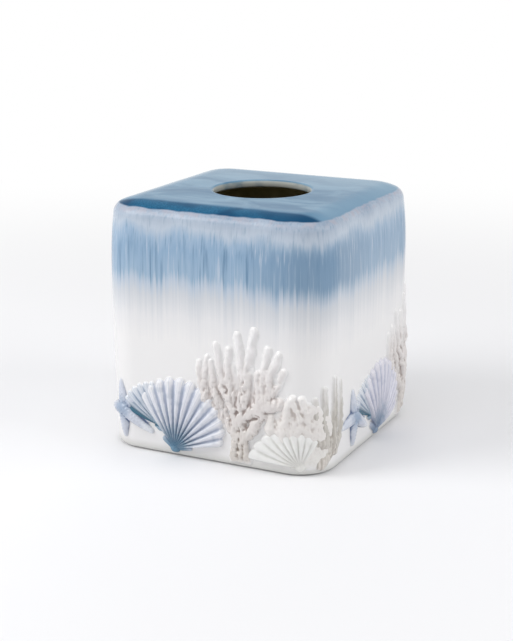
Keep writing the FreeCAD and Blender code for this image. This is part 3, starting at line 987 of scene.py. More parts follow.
@dataclass
class CoverShell:
    """The body: wall, shoulder, top with the pull-out opening, and the inside."""

    columns: int = 352
    foot_steps: int = 7
    wall_steps: int = 71
    edge_steps: int = 14
    shoulder_steps: int = 9
    top_steps: int = 17
    lip_steps: int = 8
    under_lip_steps: int = 4
    ceiling_steps: int = 8
    bend_steps: int = 6
    inner_wall_steps: int = 21
    inner_foot_steps: int = 4
    top_edge_radius: float = 7.5 * MM
    foot_edge_radius: float = 2.4 * MM
    foot_level: float = 0.4 * MM
    shoulder_run: float = 12.0 * MM
    shoulder_fall: float = 2.1 * MM
    wall_thickness: float = 7.0 * MM
    foot_wall_thickness: float = 8.5 * MM
    top_thickness: float = 6.0 * MM
    ceiling_radius: float = 4.0 * MM
    opening_radius: float = 28.5 * MM
    lip_radius: float = 2.5 * MM
    rim_thickness: float = 4.4 * MM
    under_lip_radius: float = 1.2 * MM
    inner_foot_radius: float = 1.5 * MM
    unevenness: float = 0.2 * MM
    uneven_size: float = 45 * MM
    first_inside: int = field(init=False, default=0)

    def build(self) -> Object:
        """Model the shell by extruding one ring along its section.

        Returns:
            The finished shell.
        """
        outside, lip = self._outside(), self._lip()
        self.first_inside = len(outside) + len(lip)
        rings = [*outside, *lip, *self._inside()]
        deselect()
        bpy.ops.mesh.primitive_circle_add(vertices=self.columns, radius=rings[0].half)
        shell = bpy.context.object
        shell.name = "glazed_shell"
        edit_all(shell)
        mesh = bmesh.from_edit_mesh(shell.data)
        girth = mesh.verts.layers.float.new("girth")
        mesh.verts.layers.float.new("level")
        for index, vertex in enumerate(mesh.verts):
            vertex[girth] = WALL.lap * index / self.columns
        self._set_ring(shell, rings[0], 0)
        for number, ring in enumerate(rings[1:], 1):
            bpy.ops.mesh.extrude_edges_move()
            self._set_ring(shell, ring, number)
        mesh = bmesh.from_edit_mesh(shell.data)
        level = mesh.verts.layers.float["level"]
        for vertex in mesh.verts:
            vertex.select_set(vertex[level] in (0, len(rings) - 1))
        mesh.select_flush(True)
        bpy.ops.mesh.bridge_edge_loops()
        turn_normals_out()
        self._make_uneven(shell, self.foot_steps + 1, len(outside) - 1)
        bpy.ops.object.shade_smooth()
        return shell

    def _set_ring(self, shell: Object, ring: Ring, number: int) -> None:
        """Move the selected ring of vertices to its level.

        Args:
            shell: The shell in edit mode.
            ring: The level.
            number: Its number, kept with its vertices.
        """
        mesh = bmesh.from_edit_mesh(shell.data)
        girth = mesh.verts.layers.float["girth"]
        level = mesh.verts.layers.float["level"]
        chosen = [vertex for vertex in mesh.verts if vertex.select]
        along = np.array([vertex[girth] for vertex in chosen])
        square = WALL.plan(along, np.full(len(along), ring.half - WALL.straight))
        circle = ring.circle * square / np.linalg.norm(square, axis=1, keepdims=True)
        plan = square * (1 - ring.roundness) + circle * ring.roundness
        for vertex, (x, y) in zip(chosen, plan):
            vertex.co = (x, y, ring.up)
            vertex[level] = number
        bmesh.update_edit_mesh(shell.data)

    def _outside(self) -> list[Ring]:
        """Work out the levels from the foot's edge over the wall and the shoulder to the lip.

        Returns:
            The levels.
        """
        foot, edge, ground = self.foot_edge_radius, self.top_edge_radius, self.foot_level
        foot_half = WALL.half_at(WALL.foot + foot)
        wall_end = WALL.height - edge - self.shoulder_fall
        shoulder_half = WALL.half_at(wall_end)
        rings = []
        for turn in quarter(self.foot_steps)[:-1]:
            half = foot_half - foot * (1 - math.sin(turn))
            rings.append(Ring(half, ground + foot * (1 - math.cos(turn))))
        for up in np.linspace(ground + foot, wall_end, self.wall_steps + 1):
            rings.append(Ring(WALL.half_at(up), up))
        tilt = math.atan2(2 * self.shoulder_fall, self.shoulder_run)
        for turn in np.linspace(0, math.pi / 2 - tilt, self.edge_steps + 1)[1:]:
            half = shoulder_half - edge * (1 - math.cos(turn))
            rings.append(Ring(half, wall_end + edge * math.sin(turn)))
        start = rings[-1]
        for share in np.linspace(0, 1, self.shoulder_steps + 1)[1:]:
            up = WALL.height - (WALL.height - start.up) * (1 - share) ** 2
            rings.append(Ring(start.half - share * self.shoulder_run, up))
        inner = rings[-1].half
        rim = self.opening_radius + self.lip_radius
        for share in np.linspace(0, 1, self.top_steps + 1)[1:]:
            rings.append(Ring(inner, WALL.height, rim, share))
        return rings

    def _lip(self) -> list[Ring]:
        """Work out the levels over the rounded lip and down through the opening.

        Returns:
            The levels.
        """
        lip, under = self.lip_radius, self.under_lip_radius
        below = WALL.height - self.rim_thickness
        half = WALL.half_at(below) - self.wall_thickness
        rings = []
        for turn in quarter(self.lip_steps)[1:]:
            radius = self.opening_radius + lip * (1 - math.sin(turn))
            rings.append(Ring(half, WALL.height - lip * (1 - math.cos(turn)), radius, 1.0))
        for turn in quarter(self.under_lip_steps):
            radius = self.opening_radius + under * (1 - math.cos(turn))
            rings.append(Ring(half, below + under * (1 - math.sin(turn)), radius, 1.0))
        return rings

    def _inside(self) -> list[Ring]:
        """Work out the levels along the ceiling and down the inner wall to the foot.

        Returns:
            The levels.
        """
        ceiling = WALL.height - self.top_thickness
        bend, foot = self.ceiling_radius, self.inner_foot_radius
        top = self._inner_half(ceiling - bend)
        rim = self.opening_radius + self.under_lip_radius
        rings = []
        for share in np.linspace(1, 0, self.ceiling_steps + 1)[1:]:
            rings.append(Ring(top - bend, ceiling, rim, share))
        for turn in quarter(self.bend_steps)[1:]:
            half = top - bend * (1 - math.sin(turn))
            rings.append(Ring(half, ceiling - bend * (1 - math.cos(turn))))
        foot_start = self.foot_level + foot
        for up in np.linspace(ceiling - bend, foot_start, self.inner_wall_steps + 1)[1:]:
            rings.append(Ring(self._inner_half(up), up))
        base = self._inner_half(foot_start)
        for turn in quarter(self.inner_foot_steps)[1:]:
            half = base + foot * (1 - math.cos(turn))
            rings.append(Ring(half, self.foot_level + foot * (1 - math.sin(turn))))
        return rings

    def _inner_half(self, up: float) -> float:
        """Give the half width of the inside, whose wall is thicker towards the foot.

        Args:
            up: Height above the ground.

        Returns:
            The half width.
        """
        share = max(0.0, 1 - up / WALL.belly_height)
        thickness = self.wall_thickness + share * (self.foot_wall_thickness - self.wall_thickness)
        return WALL.half_at(up) - thickness

    def _make_uneven(self, shell: Object, first: int, end: int) -> None:
        """Let the outer face waver a little inwards, as a cast one does.

        Args:
            shell: The shell, in object mode.
            first: The first level that wavers.
            end: The level above the last one that does.
        """
        level = np.empty(len(shell.data.vertices), np.float32)
        shell.data.attributes["level"].data.foreach_get("value", level)
        group = shell.vertex_groups.new(name="outer_face")
        group.add(np.flatnonzero((level >= first) & (level < end)).tolist(), 1.0, "REPLACE")
        texture = bpy.data.textures.new("uneven_wall", "CLOUDS")
        texture.noise_scale = self.uneven_size
        texture.noise_depth = 1
        modify(
            shell, "DISPLACE", texture=texture, texture_coords="LOCAL", strength=self.unevenness,
            mid_level=1.0, vertex_group=group.name,
        )
        shell.vertex_groups.clear()

    def dress(self, shell: Object) -> None:
        """Glaze the outside and leave the inside bare.

        Args:
            shell: The finished shell.
        """
        dress(shell, "cover_shell", DripGlaze())
        shell.data.materials.append(material_of(INSIDE_FINISH))
        level = shell.data.attributes["level"].data
        for face in shell.data.polygons:
            levels = [level[index].value for index in face.vertices]
            face.material_index = int(min(levels) >= self.first_inside - 1)
        for name in ("girth", "level"):
            shell.data.attributes.remove(shell.data.attributes[name])


@dataclass
class FootPads:
    """The four soft pads under the foot."""

    bevel: float = 0.35 * MM
    bevel_segments: int = 3
    smooth_angle: float = math.radians(40)
    names: tuple[str, ...] = (
        "front_left_pad", "front_right_pad", "back_left_pad", "back_right_pad",
    )

    def build(self) -> None:
        """Model a rounded pad in the place of each of the part's pads and dress it."""
        for name in self.names:
            low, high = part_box(name)
            deselect()
            bpy.ops.mesh.primitive_cube_add(size=1, location=(low + high) / 2, scale=high - low)
            bpy.ops.object.transform_apply(location=True, rotation=True, scale=True)
            pad = bpy.context.object
            pad.name = "soft_" + name
            modify(
                pad, "BEVEL", width=self.bevel, segments=self.bevel_segments, limit_method="ANGLE"
            )
            bpy.ops.object.shade_smooth_by_angle(angle=self.smooth_angle)
            dress(pad, name, PAD_FINISH)


# The relief


@dataclass
class Sprig:
    """One moulded ornament, pressed flat as a field of heights and laid on the wall.

    Its own lengths are in millimetres: across from its place, up from the ground.
    """

    kind: str
    place_share: float
    slot: Slot
    glaze: SprigGlaze
    pitch: float = 0.4
    border_fade: Span = (0.2, 1.6)
    melt: float = 0.4
    melt_reach: float = 2.5
    cut: float = 0.35
    cut_tolerance: float = 0.001
    strip: float = 3.0
    strip_tolerance: float = 0.0001
    back_share: float = 0.98
    lowest: float = 1.6
    blur_rounds: int = 60

    def area(self) -> Station:
        """Give the area that the ornament needs: left, low, right and high end."""
        raise NotImplementedError

    def press(self, across: np.ndarray, up: np.ndarray) -> np.ndarray:
        """Give the ornament's height at places across it and above the ground."""
        raise NotImplementedError

    def measure(self, across: np.ndarray, up: np.ndarray) -> dict[str, np.ndarray]:
        """Give the numbers that the glaze reads at places, by the attribute's name."""
        raise NotImplementedError

    def model(self) -> Object:
        """Press a fine grid into shape and cut off all that lies below the wall's face.

        Returns:
            The flat ornament.
        """
        left, low, right, high = self.area()
        low = max(low, self.lowest)
        deselect()
        bpy.ops.mesh.primitive_grid_add(
            x_subdivisions=round((right - left) / self.pitch),
            y_subdivisions=round((high - low) / self.pitch),
            size=1,
        )
        piece = bpy.context.object
        piece.name = "mould_" + self.kind
        flat = points_of(piece.data)
        across = left + (flat[:, 0] + 0.5) * (right - left)
        up = low + (flat[:, 1] + 0.5) * (high - low)
        border = np.minimum.reduce([across - left, right - across, up - low, high - up])
        lift = self.press(across, up) * ease(border, *self.border_fade)
        sunk = lift - self.melt * (1 - ease(lift, 0, self.melt_reach * self.melt))
        flat = np.column_stack([across, up, sunk]) * MM
        piece.data.vertices.foreach_set("co", flat.ravel())
        piece.data.update()
        self._keep_measures(piece, across, up, lift)
        edit_all(piece)
        bpy.ops.mesh.bisect(
            plane_co=(0, 0, -self.cut * MM), plane_no=(0, 0, 1), clear_inner=True, use_fill=True,
            threshold=self.cut_tolerance * MM,
        )
        self._split_back(piece, left, right)
        bpy.ops.object.mode_set(mode="OBJECT")
        return piece

    def _split_back(self, piece: Object, left: float, right: float) -> None:
        """Split the flat back into upright strips, so that it can follow a corner.

        Args:
            piece: The flat ornament in edit mode.
            left: Left end of the ornament.
            right: Right end of the ornament.
        """
        mesh = bmesh.from_edit_mesh(piece.data)
        level = -self.back_share * self.cut * MM
        strips = [face for face in mesh.faces if all(vert.co.z < level for vert in face.verts)]
        for place in np.arange(left + self.strip, right, self.strip):
            rims = {edge for face in strips for edge in face.edges}
            ends = {vert for edge in rims for vert in edge.verts}
            cut = bmesh.ops.bisect_plane(
                mesh, geom=[*strips, *rims, *ends], dist=self.strip_tolerance * MM,
                plane_co=(place * MM, 0, 0), plane_no=(1, 0, 0),
            )
            strips = [part for part in cut["geom"] if isinstance(part, bmesh.types.BMFace)]
        bmesh.update_edit_mesh(piece.data)

    def _keep_measures(
        self, piece: Object, across: np.ndarray, up: np.ndarray, lift: np.ndarray
    ) -> None:
        """Store what the glaze reads: depth below the ground around, height and more.

        Args:
            piece: The pressed grid.
            across: Places across the ornament.
            up: Places above the ground.
            lift: Heights above the wall.
        """
        edges = np.empty(len(piece.data.edges) * 2, np.int64)
        piece.data.edges.foreach_get("vertices", edges)
        start, end = edges.reshape(-1, 2).T
        count = len(lift)
        neighbours = np.bincount(start, minlength=count) + np.bincount(end, minlength=count)
        level = lift.copy()
        for _ in range(self.blur_rounds):
            total = np.bincount(start, level[end], count) + np.bincount(end, level[start], count)
            level = (level + total / np.maximum(neighbours, 1)) / 2
        measures = {"hollow": level - lift, "lift": lift, **self.measure(across, up)}
        for name, values in measures.items():
            keep_attribute(piece.data, name, values)

    def lay(self, mould: Object, group: Group) -> None:
        """Lay a copy of the ornament on the wall and dress it.

        Args:
            mould: The flat ornament.
            group: The group that the copy belongs to.
        """
        node = f"{group.name.lower()}_{self.kind}"
        piece = bpy.data.objects.new("glazed_" + node, mould.data.copy())
        bpy.context.scene.collection.objects.link(piece)
        flat = points_of(piece.data)
        flat[:, 0] += (group.value + self.place_share) * WALL.lap
        piece.data.vertices.foreach_set("co", WALL.lay(flat).ravel())
        piece.data.update()
        edit_all(piece)
        turn_normals_out()
        bpy.ops.object.shade_smooth()
        dress(piece, node, self.glaze)


# Height of a shell's dome by the share of the way from the hinge.
DOME_REACH = (0.0, 0.10, 0.30, 0.55, 0.80, 1.0)
DOME_HEIGHT = (0.50, 0.66, 0.92, 1.0, 0.82, 0.52)


@dataclass
class Scallop(Sprig):
    """A fan of rounded ribs that spread from the hinge."""

    hinge: Span = (0.0, 5.0)
    lengths: Triple = (38.0, 44.0, 33.0)
    room: float = 4.0
    relief: float = 4.1
    ribs: int = 12
    facing: float = math.radians(69)
    half_spread: float = math.radians(55)
    share_limit: float = 1.1
    side_drop: float = 0.1
    side_fade: Span = (0.25, 0.6)
    crest_power: float = 0.62
    groove: float = 0.46
    groove_width: float = 1.8
    margin_bow: float = 0.05
    margin_fade: Span = (-0.06, 0.02)
    knob_share: float = 0.6
    knob_radius: float = 3.4
    left_ear: Station = (-6.5, 4.4, 1.3, 2.4)
    right_ear: Station = (9.5, 0.8, 1.3, 1.9)
    ear_root_share: float = 0.2
    ear_root_rise: float = 0.5
    ear_root_crest: float = 1.4
    ear_root_half: float = 1.3
    edge_shade: float = 0.0
    edge_side: Span = (0.45, 0.95)
    edge_end: Span = (0.7, 0.95)
    seam_width: float = 0.2
    seam_shade: float = 0.65
    seam_end: Span = (0.2, 0.8)
    mottle: float = 0.2
    mottle_clouds: Clouds = Clouds(3.4)
    mottle_span: Span = (0.1, 0.8)
    mottle_start: Span = (0.4, 0.65)
    mottle_end: Span = (0.85, 0.98)

    def area(self) -> Station:
        """Give a square round the hinge that holds the fan."""
        return square_round(self.hinge, max(self.lengths) + self.room)

    def _polar(self, across: np.ndarray, up: np.ndarray) -> tuple[np.ndarray, ...]:
        """Give places of the fan.

        Args:
            across: Places across the ornament.
            up: Places above the ground.

        Returns:
            Distance from the hinge, direction, share across the fan and share of the length.
        """
        x, y = across - self.hinge[0], up - self.hinge[1]
        gap, turn = np.hypot(x, y), np.arctan2(y, x)
        share = (self.facing - turn) / self.half_spread
        inner = np.clip(share, -self.share_limit, self.share_limit)
        left, middle, right = self.lengths
        length = middle + (right - left) / 2 * inner + ((right + left) / 2 - middle) * inner**2
        return gap, turn, share, gap / length

    def _off_crest(self, share: np.ndarray) -> np.ndarray:
        """Give how far places lie from a rib's crest: 0 on it, 1 in the furrow."""
        place = (share + 1) * (self.ribs - 1) / 2
        return 2 * np.abs(place - np.round(place))

    def press(self, across: np.ndarray, up: np.ndarray) -> np.ndarray:
        """Give the height of the ribs, the rounded hinge and the ears.

        Args:
            across: Places across the ornament.
            up: Places above the ground.

        Returns:
            The heights above the wall.
        """
        gap, _, share, reach = self._polar(across, up)
        half_count = (self.ribs - 1) / 2
        off = self._off_crest(share)
        section = (0.5 + 0.5 * np.cos(math.pi * off)) ** self.crest_power
        width = gap * self.half_spread / half_count
        depth = self.groove * np.minimum(1, width / self.groove_width)
        fan = self.relief * np.interp(reach, DOME_REACH, DOME_HEIGHT)
        fan *= 1 - self.side_drop * np.clip(share, -1, 1) ** 2
        fan *= 1 - depth * (1 - section)
        margin = 1 - self.margin_bow * off**2
        fan *= 1 - ease(reach - margin, *self.margin_fade)
        fan *= 1 - ease(np.abs(share * half_count) - half_count, *self.side_fade)
        bulge = np.sqrt(np.clip(1 - (gap / self.knob_radius) ** 2, 0, 1))
        knob = self.knob_share * self.relief * bulge
        return np.maximum.reduce([fan, knob, self._ears(across, up)])

    def _ears(self, across: np.ndarray, up: np.ndarray) -> np.ndarray:
        """Give the height of the two small ears beside the hinge.

        Args:
            across: Places across the ornament.
            up: Places above the ground.

        Returns:
            The heights.
        """
        x, y = self.hinge
        ears = []
        for right, rise, crest, half in (self.left_ear, self.right_ear):
            root_x = x + self.ear_root_share * right
            root_y = y + self.ear_root_share * rise + self.ear_root_rise
            root = (root_x, root_y, self.ear_root_crest * crest, self.ear_root_half * half)
            ears.append(limb(across, up, (root, (x + right, y + rise, crest, half))))
        return np.maximum(*ears)

    def measure(self, across: np.ndarray, up: np.ndarray) -> dict[str, np.ndarray]:
        """Give the share of the way from the hinge, the direction and the darker places.

        Args:
            across: Places across the ornament.
            up: Places above the ground.

        Returns:
            Attribute names with their values.
        """
        _, turn, share, reach = self._polar(across, up)
        edge = self.edge_shade * ease(-share, *self.edge_side) * (1 - ease(reach, *self.edge_end))
        seam = np.exp(-(((1 - self._off_crest(share)) / self.seam_width) ** 2))
        seam *= self.seam_shade * (1 - ease(reach, *self.seam_end)) * (np.abs(share) < 1)
        patches = ease(self.mottle_clouds.heights(across, up, self.ribs), *self.mottle_span)
        patches *= self.mottle * ease(reach, *self.mottle_start)
        patches *= 1 - ease(reach, *self.mottle_end)
        return {"reach": reach, "fan": turn, "shade": np.maximum.reduce([edge, seam, patches])}


# Arms of the starfish: direction in degrees, length and height of the crest.
ARMS = ((-90, 17.5, 3.3), (-30, 23.5, 3.7), (42, 13.0, 2.0), (99, 17.0, 2.5), (188, 17.0, 3.2))
# Share of an arm's length, with the share of its crest and its half width.
ARM_SECTIONS = ((0.0, 1.0, 5.2), (0.3, 0.9, 4.4), (0.65, 0.68, 3.3), (0.95, 0.42, 1.9))


@dataclass
class Starfish(Sprig):
    """Five tapering arms with rows of knobs along each."""

    middle: Span = (-1.9, 24.3)
    reach: float = 20.0
    room: float = 6.0
    arm_power: float = 0.7
    knob_step: float = 2.1
    knob_height: float = 0.4
    knob_fade: Span = (0.6, 1.6)
    middle_row_half: float = 0.2
    side_row: float = 0.52
    side_row_half: float = 0.18
    web: tuple[Station, ...] = ((4.0, 25.0, 0.9, 3.0), (15.0, 20.0, 0.8, 3.0))

    def area(self) -> Station:
        """Give a square that holds all arms."""
        return square_round(self.middle, self.reach + self.room)

    def _arm(
        self, across: np.ndarray, up: np.ndarray, degrees: float, length: float, crest: float
    ) -> np.ndarray:
        """Give the height of one arm with its three rows of knobs.

        Args:
            across: Places across the ornament.
            up: Places above the ground.
            degrees: Direction of the arm.
            length: Its length.
            crest: Its height at the middle.

        Returns:
            The heights.
        """
        x, y = self.middle
        aim = (math.cos(math.radians(degrees)), math.sin(math.radians(degrees)))
        knots = [
            (x + aim[0] * share * length, y + aim[1] * share * length, crest * lift, half)
            for share, lift, half in ARM_SECTIONS
        ]
        body = limb(across, up, knots, self.arm_power)
        along = (across - x) * aim[0] + (up - y) * aim[1]
        aside = np.abs((up - y) * aim[0] - (across - x) * aim[1])
        half = np.interp(along / length, *np.array(ARM_SECTIONS).T[[0, 2]])
        beat = along / self.knob_step * math.pi
        rows = np.cos(beat) ** 2 * np.exp(-((aside / (self.middle_row_half * half)) ** 2))
        off_side = (aside - self.side_row * half) / (self.side_row_half * half)
        rows += np.sin(beat) ** 2 * np.exp(-(off_side**2))
        return body + self.knob_height * rows * ease(body, *self.knob_fade) * (along > 0)

    def press(self, across: np.ndarray, up: np.ndarray) -> np.ndarray:
        """Give the height of the arms and of the low web beside the longest one."""
        fields = [self._arm(across, up, *arm) for arm in ARMS]
        return np.maximum.reduce([*fields, limb(across, up, self.web)])

    def measure(self, across: np.ndarray, up: np.ndarray) -> dict[str, np.ndarray]:
        """Give the share of the way from the middle to an arm's tip."""
        x, y = self.middle
        return {"reach": np.hypot(across - x, up - y) / self.reach}


@dataclass
class Coral(Sprig):
    """Branches that melt together, crusted below, with pits pressed in between them."""

    height: float = 83.0
    branches: tuple[tuple[Station, ...], ...] = ()
    pits: tuple[Station, ...] = ()
    room: float = 3.0
    widen: float = 1.55
    melt_from: float = 30.0
    melt_to: float = 75.0
    section_power: float = 0.6
    melted_power: float = 1.1
    join_power: int = 5
    sink: float = 0.32
    flat_from: float = 3.3
    flat_share: float = 0.35
    wander: Clouds = Clouds(5.0, 0.5)
    fine_wander: Clouds = Clouds(2.4, 0.4, draw=5)
    lumps: Clouds = Clouds(3.2, 0.14, draw=6)
    crust: float = 0.5
    crust_end: Span = (32.0, 74.0)
    crust_lift: Span = (0.6, 1.8)
    crust_clouds: Clouds = Clouds(2.4, squeeze=0.6, draw=1)
    crust_grains: Clouds = Clouds(1.1, 0.8, squeeze=0.8, draw=2)
    cracks: Clouds = Clouds(2.2, squeeze=0.2, draw=3)
    crack_width: float = 0.25
    pit_depth: float = 0.85
    pit_stray: Clouds = Clouds(1.6, 1.1, draw=4)
    pit_height: float = 1.3
    pit_width: float = 1.15
    pit_floor: float = 0.45
    seed: int = 7

    def area(self) -> Station:
        """Give the area of all branches with a margin.

        Returns:
            Its left, low, right and high end.
        """
        rows = np.array([knot for branch in self.branches for knot in branch])
        half = self.widen * rows[:, 3] + self.room
        x, y = rows[:, 0], rows[:, 1]
        return (x - half).min(), (y - half).min(), (x + half).max(), (y + half).max()

    def press(self, across: np.ndarray, up: np.ndarray) -> np.ndarray:
        """Give the height of the joined branches with their crust and pits.

        Args:
            across: Places across the ornament.
            up: Places above the ground.

        Returns:
            The heights above the wall.
        """
        lift = self._joined(across, up)
        lift = lift + self._crust(across, up) * ease(lift, *self.crust_lift)
        stray = self.pit_stray.heights(across, up, self.seed)
        for x, y, depth, radius in self.pits:
            gap = np.hypot(across - x + stray, (up - y) / self.pit_height + stray)
            gap /= self.pit_width * radius
            pressed = lift - self.pit_depth * depth * np.exp(-(gap**2))
            lift = np.minimum(lift, np.maximum(pressed, self.pit_floor))
        lift = np.minimum(lift, self.flat_from + self.flat_share * (lift - self.flat_from))
        return np.maximum(lift, 0)

    def _joined(self, across: np.ndarray, up: np.ndarray) -> np.ndarray:
        """Give the height of the branches, which wander and run into one another.

        Args:
            across: Places across the ornament.
            up: Places above the ground.

        Returns:
            The heights.
        """
        melted = ease(up, self.melt_from, self.melt_to)
        power = self.section_power + self.melted_power * melted
        wander = sum(
            clouds.heights(across, up, self.seed) for clouds in (self.wander, self.fine_wander)
        )
        total = np.zeros_like(across)
        for branch in self.branches:
            knots = [(x, y, crest, half * self.widen) for x, y, crest, half in branch]
            total += limb(across + wander, up, knots, power) ** self.join_power
        lift = total ** (1 / self.join_power) * (1 - self.sink * melted)
        return lift * (1 + self.lumps.heights(across, up, self.seed))

    def _crust(self, across: np.ndarray, up: np.ndarray) -> np.ndarray:
        """Give the height of the cracked crust, which fades out upwards.

        Args:
            across: Places across the ornament.
            up: Places above the ground.

        Returns:
            The heights, below 0 in the cracks.
        """
        rough = self.crust_clouds.heights(across, up, self.seed)
        rough += self.crust_grains.heights(across, up, self.seed)
        crack = np.abs(self.cracks.heights(across, up, self.seed))
        rough -= 1 - ease(crack, 0.0, self.crack_width)
        return self.crust * rough * (1 - ease(up, *self.crust_end))

    def measure(self, across: np.ndarray, up: np.ndarray) -> dict[str, np.ndarray]:
        """Give the share of the way up from the foot and the place across."""
        return {"reach": np.clip(up / self.height, 0, 1), "fan": across}


# Branches in millimetres: place across, place up, height of the crest and radius at each knot.
# Most places are points of the photograph that another script projected onto the wall, rounded.
TALL_BRANCHES = (
    ((-22.5, 39.5, 2.6, 2.4), (-25.0, 50.0, 2.1, 2.0), (-26.0, 60.0, 1.6, 1.7)),
    ((-20.0, 38.5, 3.0, 2.4), (-22.5, 50.5, 2.4, 2.1), (-20.5, 63.5, 1.8, 1.8)),
    ((-12.5, 37.5, 3.4, 2.6), (-16.5, 46.5, 2.7, 2.2), (-18.0, 61.5, 2.0, 1.8)),
    ((-9.0, 46.5, 3.0, 2.6), (-12.0, 57.0, 2.5, 2.3), (-15.0, 71.5, 2.0, 2.0)),
    ((-5.0, 41.0, 3.6, 3.0), (-7.0, 52.5, 2.9, 2.5), (-7.0, 70.0, 2.2, 1.9)),
    ((3.5, 51.0, 3.2, 3.0), (1.0, 62.0, 2.7, 2.5), (-1.5, 79.0, 2.2, 2.1)),
    ((4.0, 51.5, 3.4, 3.0), (6.0, 65.0, 2.8, 2.6), (9.5, 82.5, 2.3, 2.2)),
    (
        (-1.0, 7.0, 1.6, 3.0), (-0.5, 14.0, 3.2, 3.2), (0.0, 24.0, 3.8, 3.4),
        (2.5, 39.5, 3.4, 3.2), (5.0, 57.5, 2.6, 3.0),
    ),
    ((12.5, 41.0, 3.6, 2.2), (11.5, 49.5, 3.1, 2.0), (11.5, 58.0, 2.6, 1.9)),
    ((14.5, 44.0, 3.4, 2.8), (15.0, 56.0, 2.7, 2.4), (17.5, 73.0, 2.0, 2.0)),
    ((16.0, 41.5, 3.6, 3.2), (18.5, 50.5, 3.2, 2.8), (18.0, 59.5, 2.8, 2.4)),
    ((19.0, 56.5, 3.0, 2.4), (21.0, 62.5, 2.5, 2.2), (24.5, 70.5, 2.0, 2.1)),
    ((18.5, 47.0, 3.0, 2.3), (23.5, 53.0, 2.5, 2.1), (27.5, 61.5, 2.0, 1.9)),
    ((5.5, 34.5, 4.0, 3.2), (15.0, 39.5, 3.8, 3.1), (24.5, 42.5, 3.6, 3.0)),
    ((-1.0, 27.5, 4.2, 2.4), (-5.0, 37.5, 3.8, 2.2), (-11.0, 47.5, 3.4, 2.0)),
    (
        (-6.0, 22.5, 2.4, 2.0), (-12.0, 30.0, 2.1, 1.8), (-18.5, 38.5, 1.9, 1.6),
        (-22.5, 43.5, 1.6, 1.4),
    ),
    (
        (-5.0, 5.0, 1.2, 2.0), (-3.5, 12.0, 3.0, 1.9), (-3.5, 23.5, 3.9, 1.8),
        (-3.0, 34.5, 4.0, 2.2),
    ),
    ((4.5, 5.0, 1.2, 2.0), (3.0, 12.0, 3.0, 1.9), (3.0, 23.0, 3.9, 1.8), (2.0, 35.0, 4.0, 2.2)),
    ((5.0, 22.0, 3.6, 3.0), (10.0, 28.5, 3.4, 2.7), (15.0, 34.0, 3.2, 2.4)),
    ((9.0, 24.5, 4.2, 2.2), (9.0, 28.5, 3.8, 1.8)),
    ((-4.5, 29.0, 1.8, 5.0), (-11.0, 37.5, 1.6, 4.8), (-17.0, 48.5, 1.4, 4.5)),
    ((0.5, 35.5, 1.8, 6.0), (-2.0, 47.0, 1.6, 5.5), (-5.5, 58.5, 1.3, 5.0)),
    ((5.5, 36.5, 1.8, 6.0), (12.0, 46.0, 1.6, 5.5), (15.5, 55.5, 1.4, 5.0)),
)
LOW_BRANCHES = (
    ((-9.0, 27.0, 3.0, 2.6), (-7.5, 39.0, 3.0, 2.2), (-4.5, 46.0, 3.0, 1.9)),
    ((0.0, 35.0, 3.2, 1.7), (-2.5, 41.0, 3.1, 1.6), (-4.0, 45.5, 3.0, 1.5)),
    ((4.0, 35.0, 3.2, 2.0), (2.5, 41.0, 2.9, 1.9), (1.0, 46.0, 2.6, 1.7)),
    ((-18.0, 27.0, 3.2, 2.6), (-16.5, 34.0, 2.6, 1.8)),
    ((-8.5, 23.5, 2.2, 8.0), (0.0, 29.0, 2.2, 8.0), (10.0, 27.0, 2.2, 8.0)),
    ((0.0, 16.5, 1.6, 6.0), (7.0, 13.5, 1.6, 6.0), (13.5, 15.5, 1.6, 6.0)),
    ((-12.0, 28.0, 2.5, 5.0), (-4.0, 36.0, 2.4, 5.0), (3.0, 38.0, 2.2, 4.5), (9.0, 35.0, 2.0, 4.5)),
    ((5.0, 38.5, 2.6, 2.8), (8.0, 40.0, 2.3, 2.6)),
)
TUBE_BRANCHES = (
    ((-5.0, 18.5, 2.8, 3.2), (-5.0, 33.5, 2.4, 3.0), (-5.5, 50.0, 2.0, 2.8)),
    ((3.0, 16.5, 3.0, 3.2), (3.0, 34.5, 2.5, 3.0), (3.0, 55.0, 2.0, 2.8)),
    ((4.5, 13.0, 2.4, 3.0), (9.5, 24.0, 2.4, 2.8), (10.5, 42.5, 2.1, 2.6), (10.0, 52.5, 1.8, 2.4)),
    ((-10.0, 27.0, 2.6, 2.6), (-10.5, 37.5, 2.4, 2.4), (-11.5, 45.0, 2.2, 2.2)),
    ((-6.5, 6.5, 2.0, 3.4), (-1.5, 11.5, 2.3, 3.2), (1.5, 20.0, 2.6, 3.0)),
    ((-7.0, 21.5, 1.8, 6.0), (0.5, 17.0, 1.8, 6.0)),
)

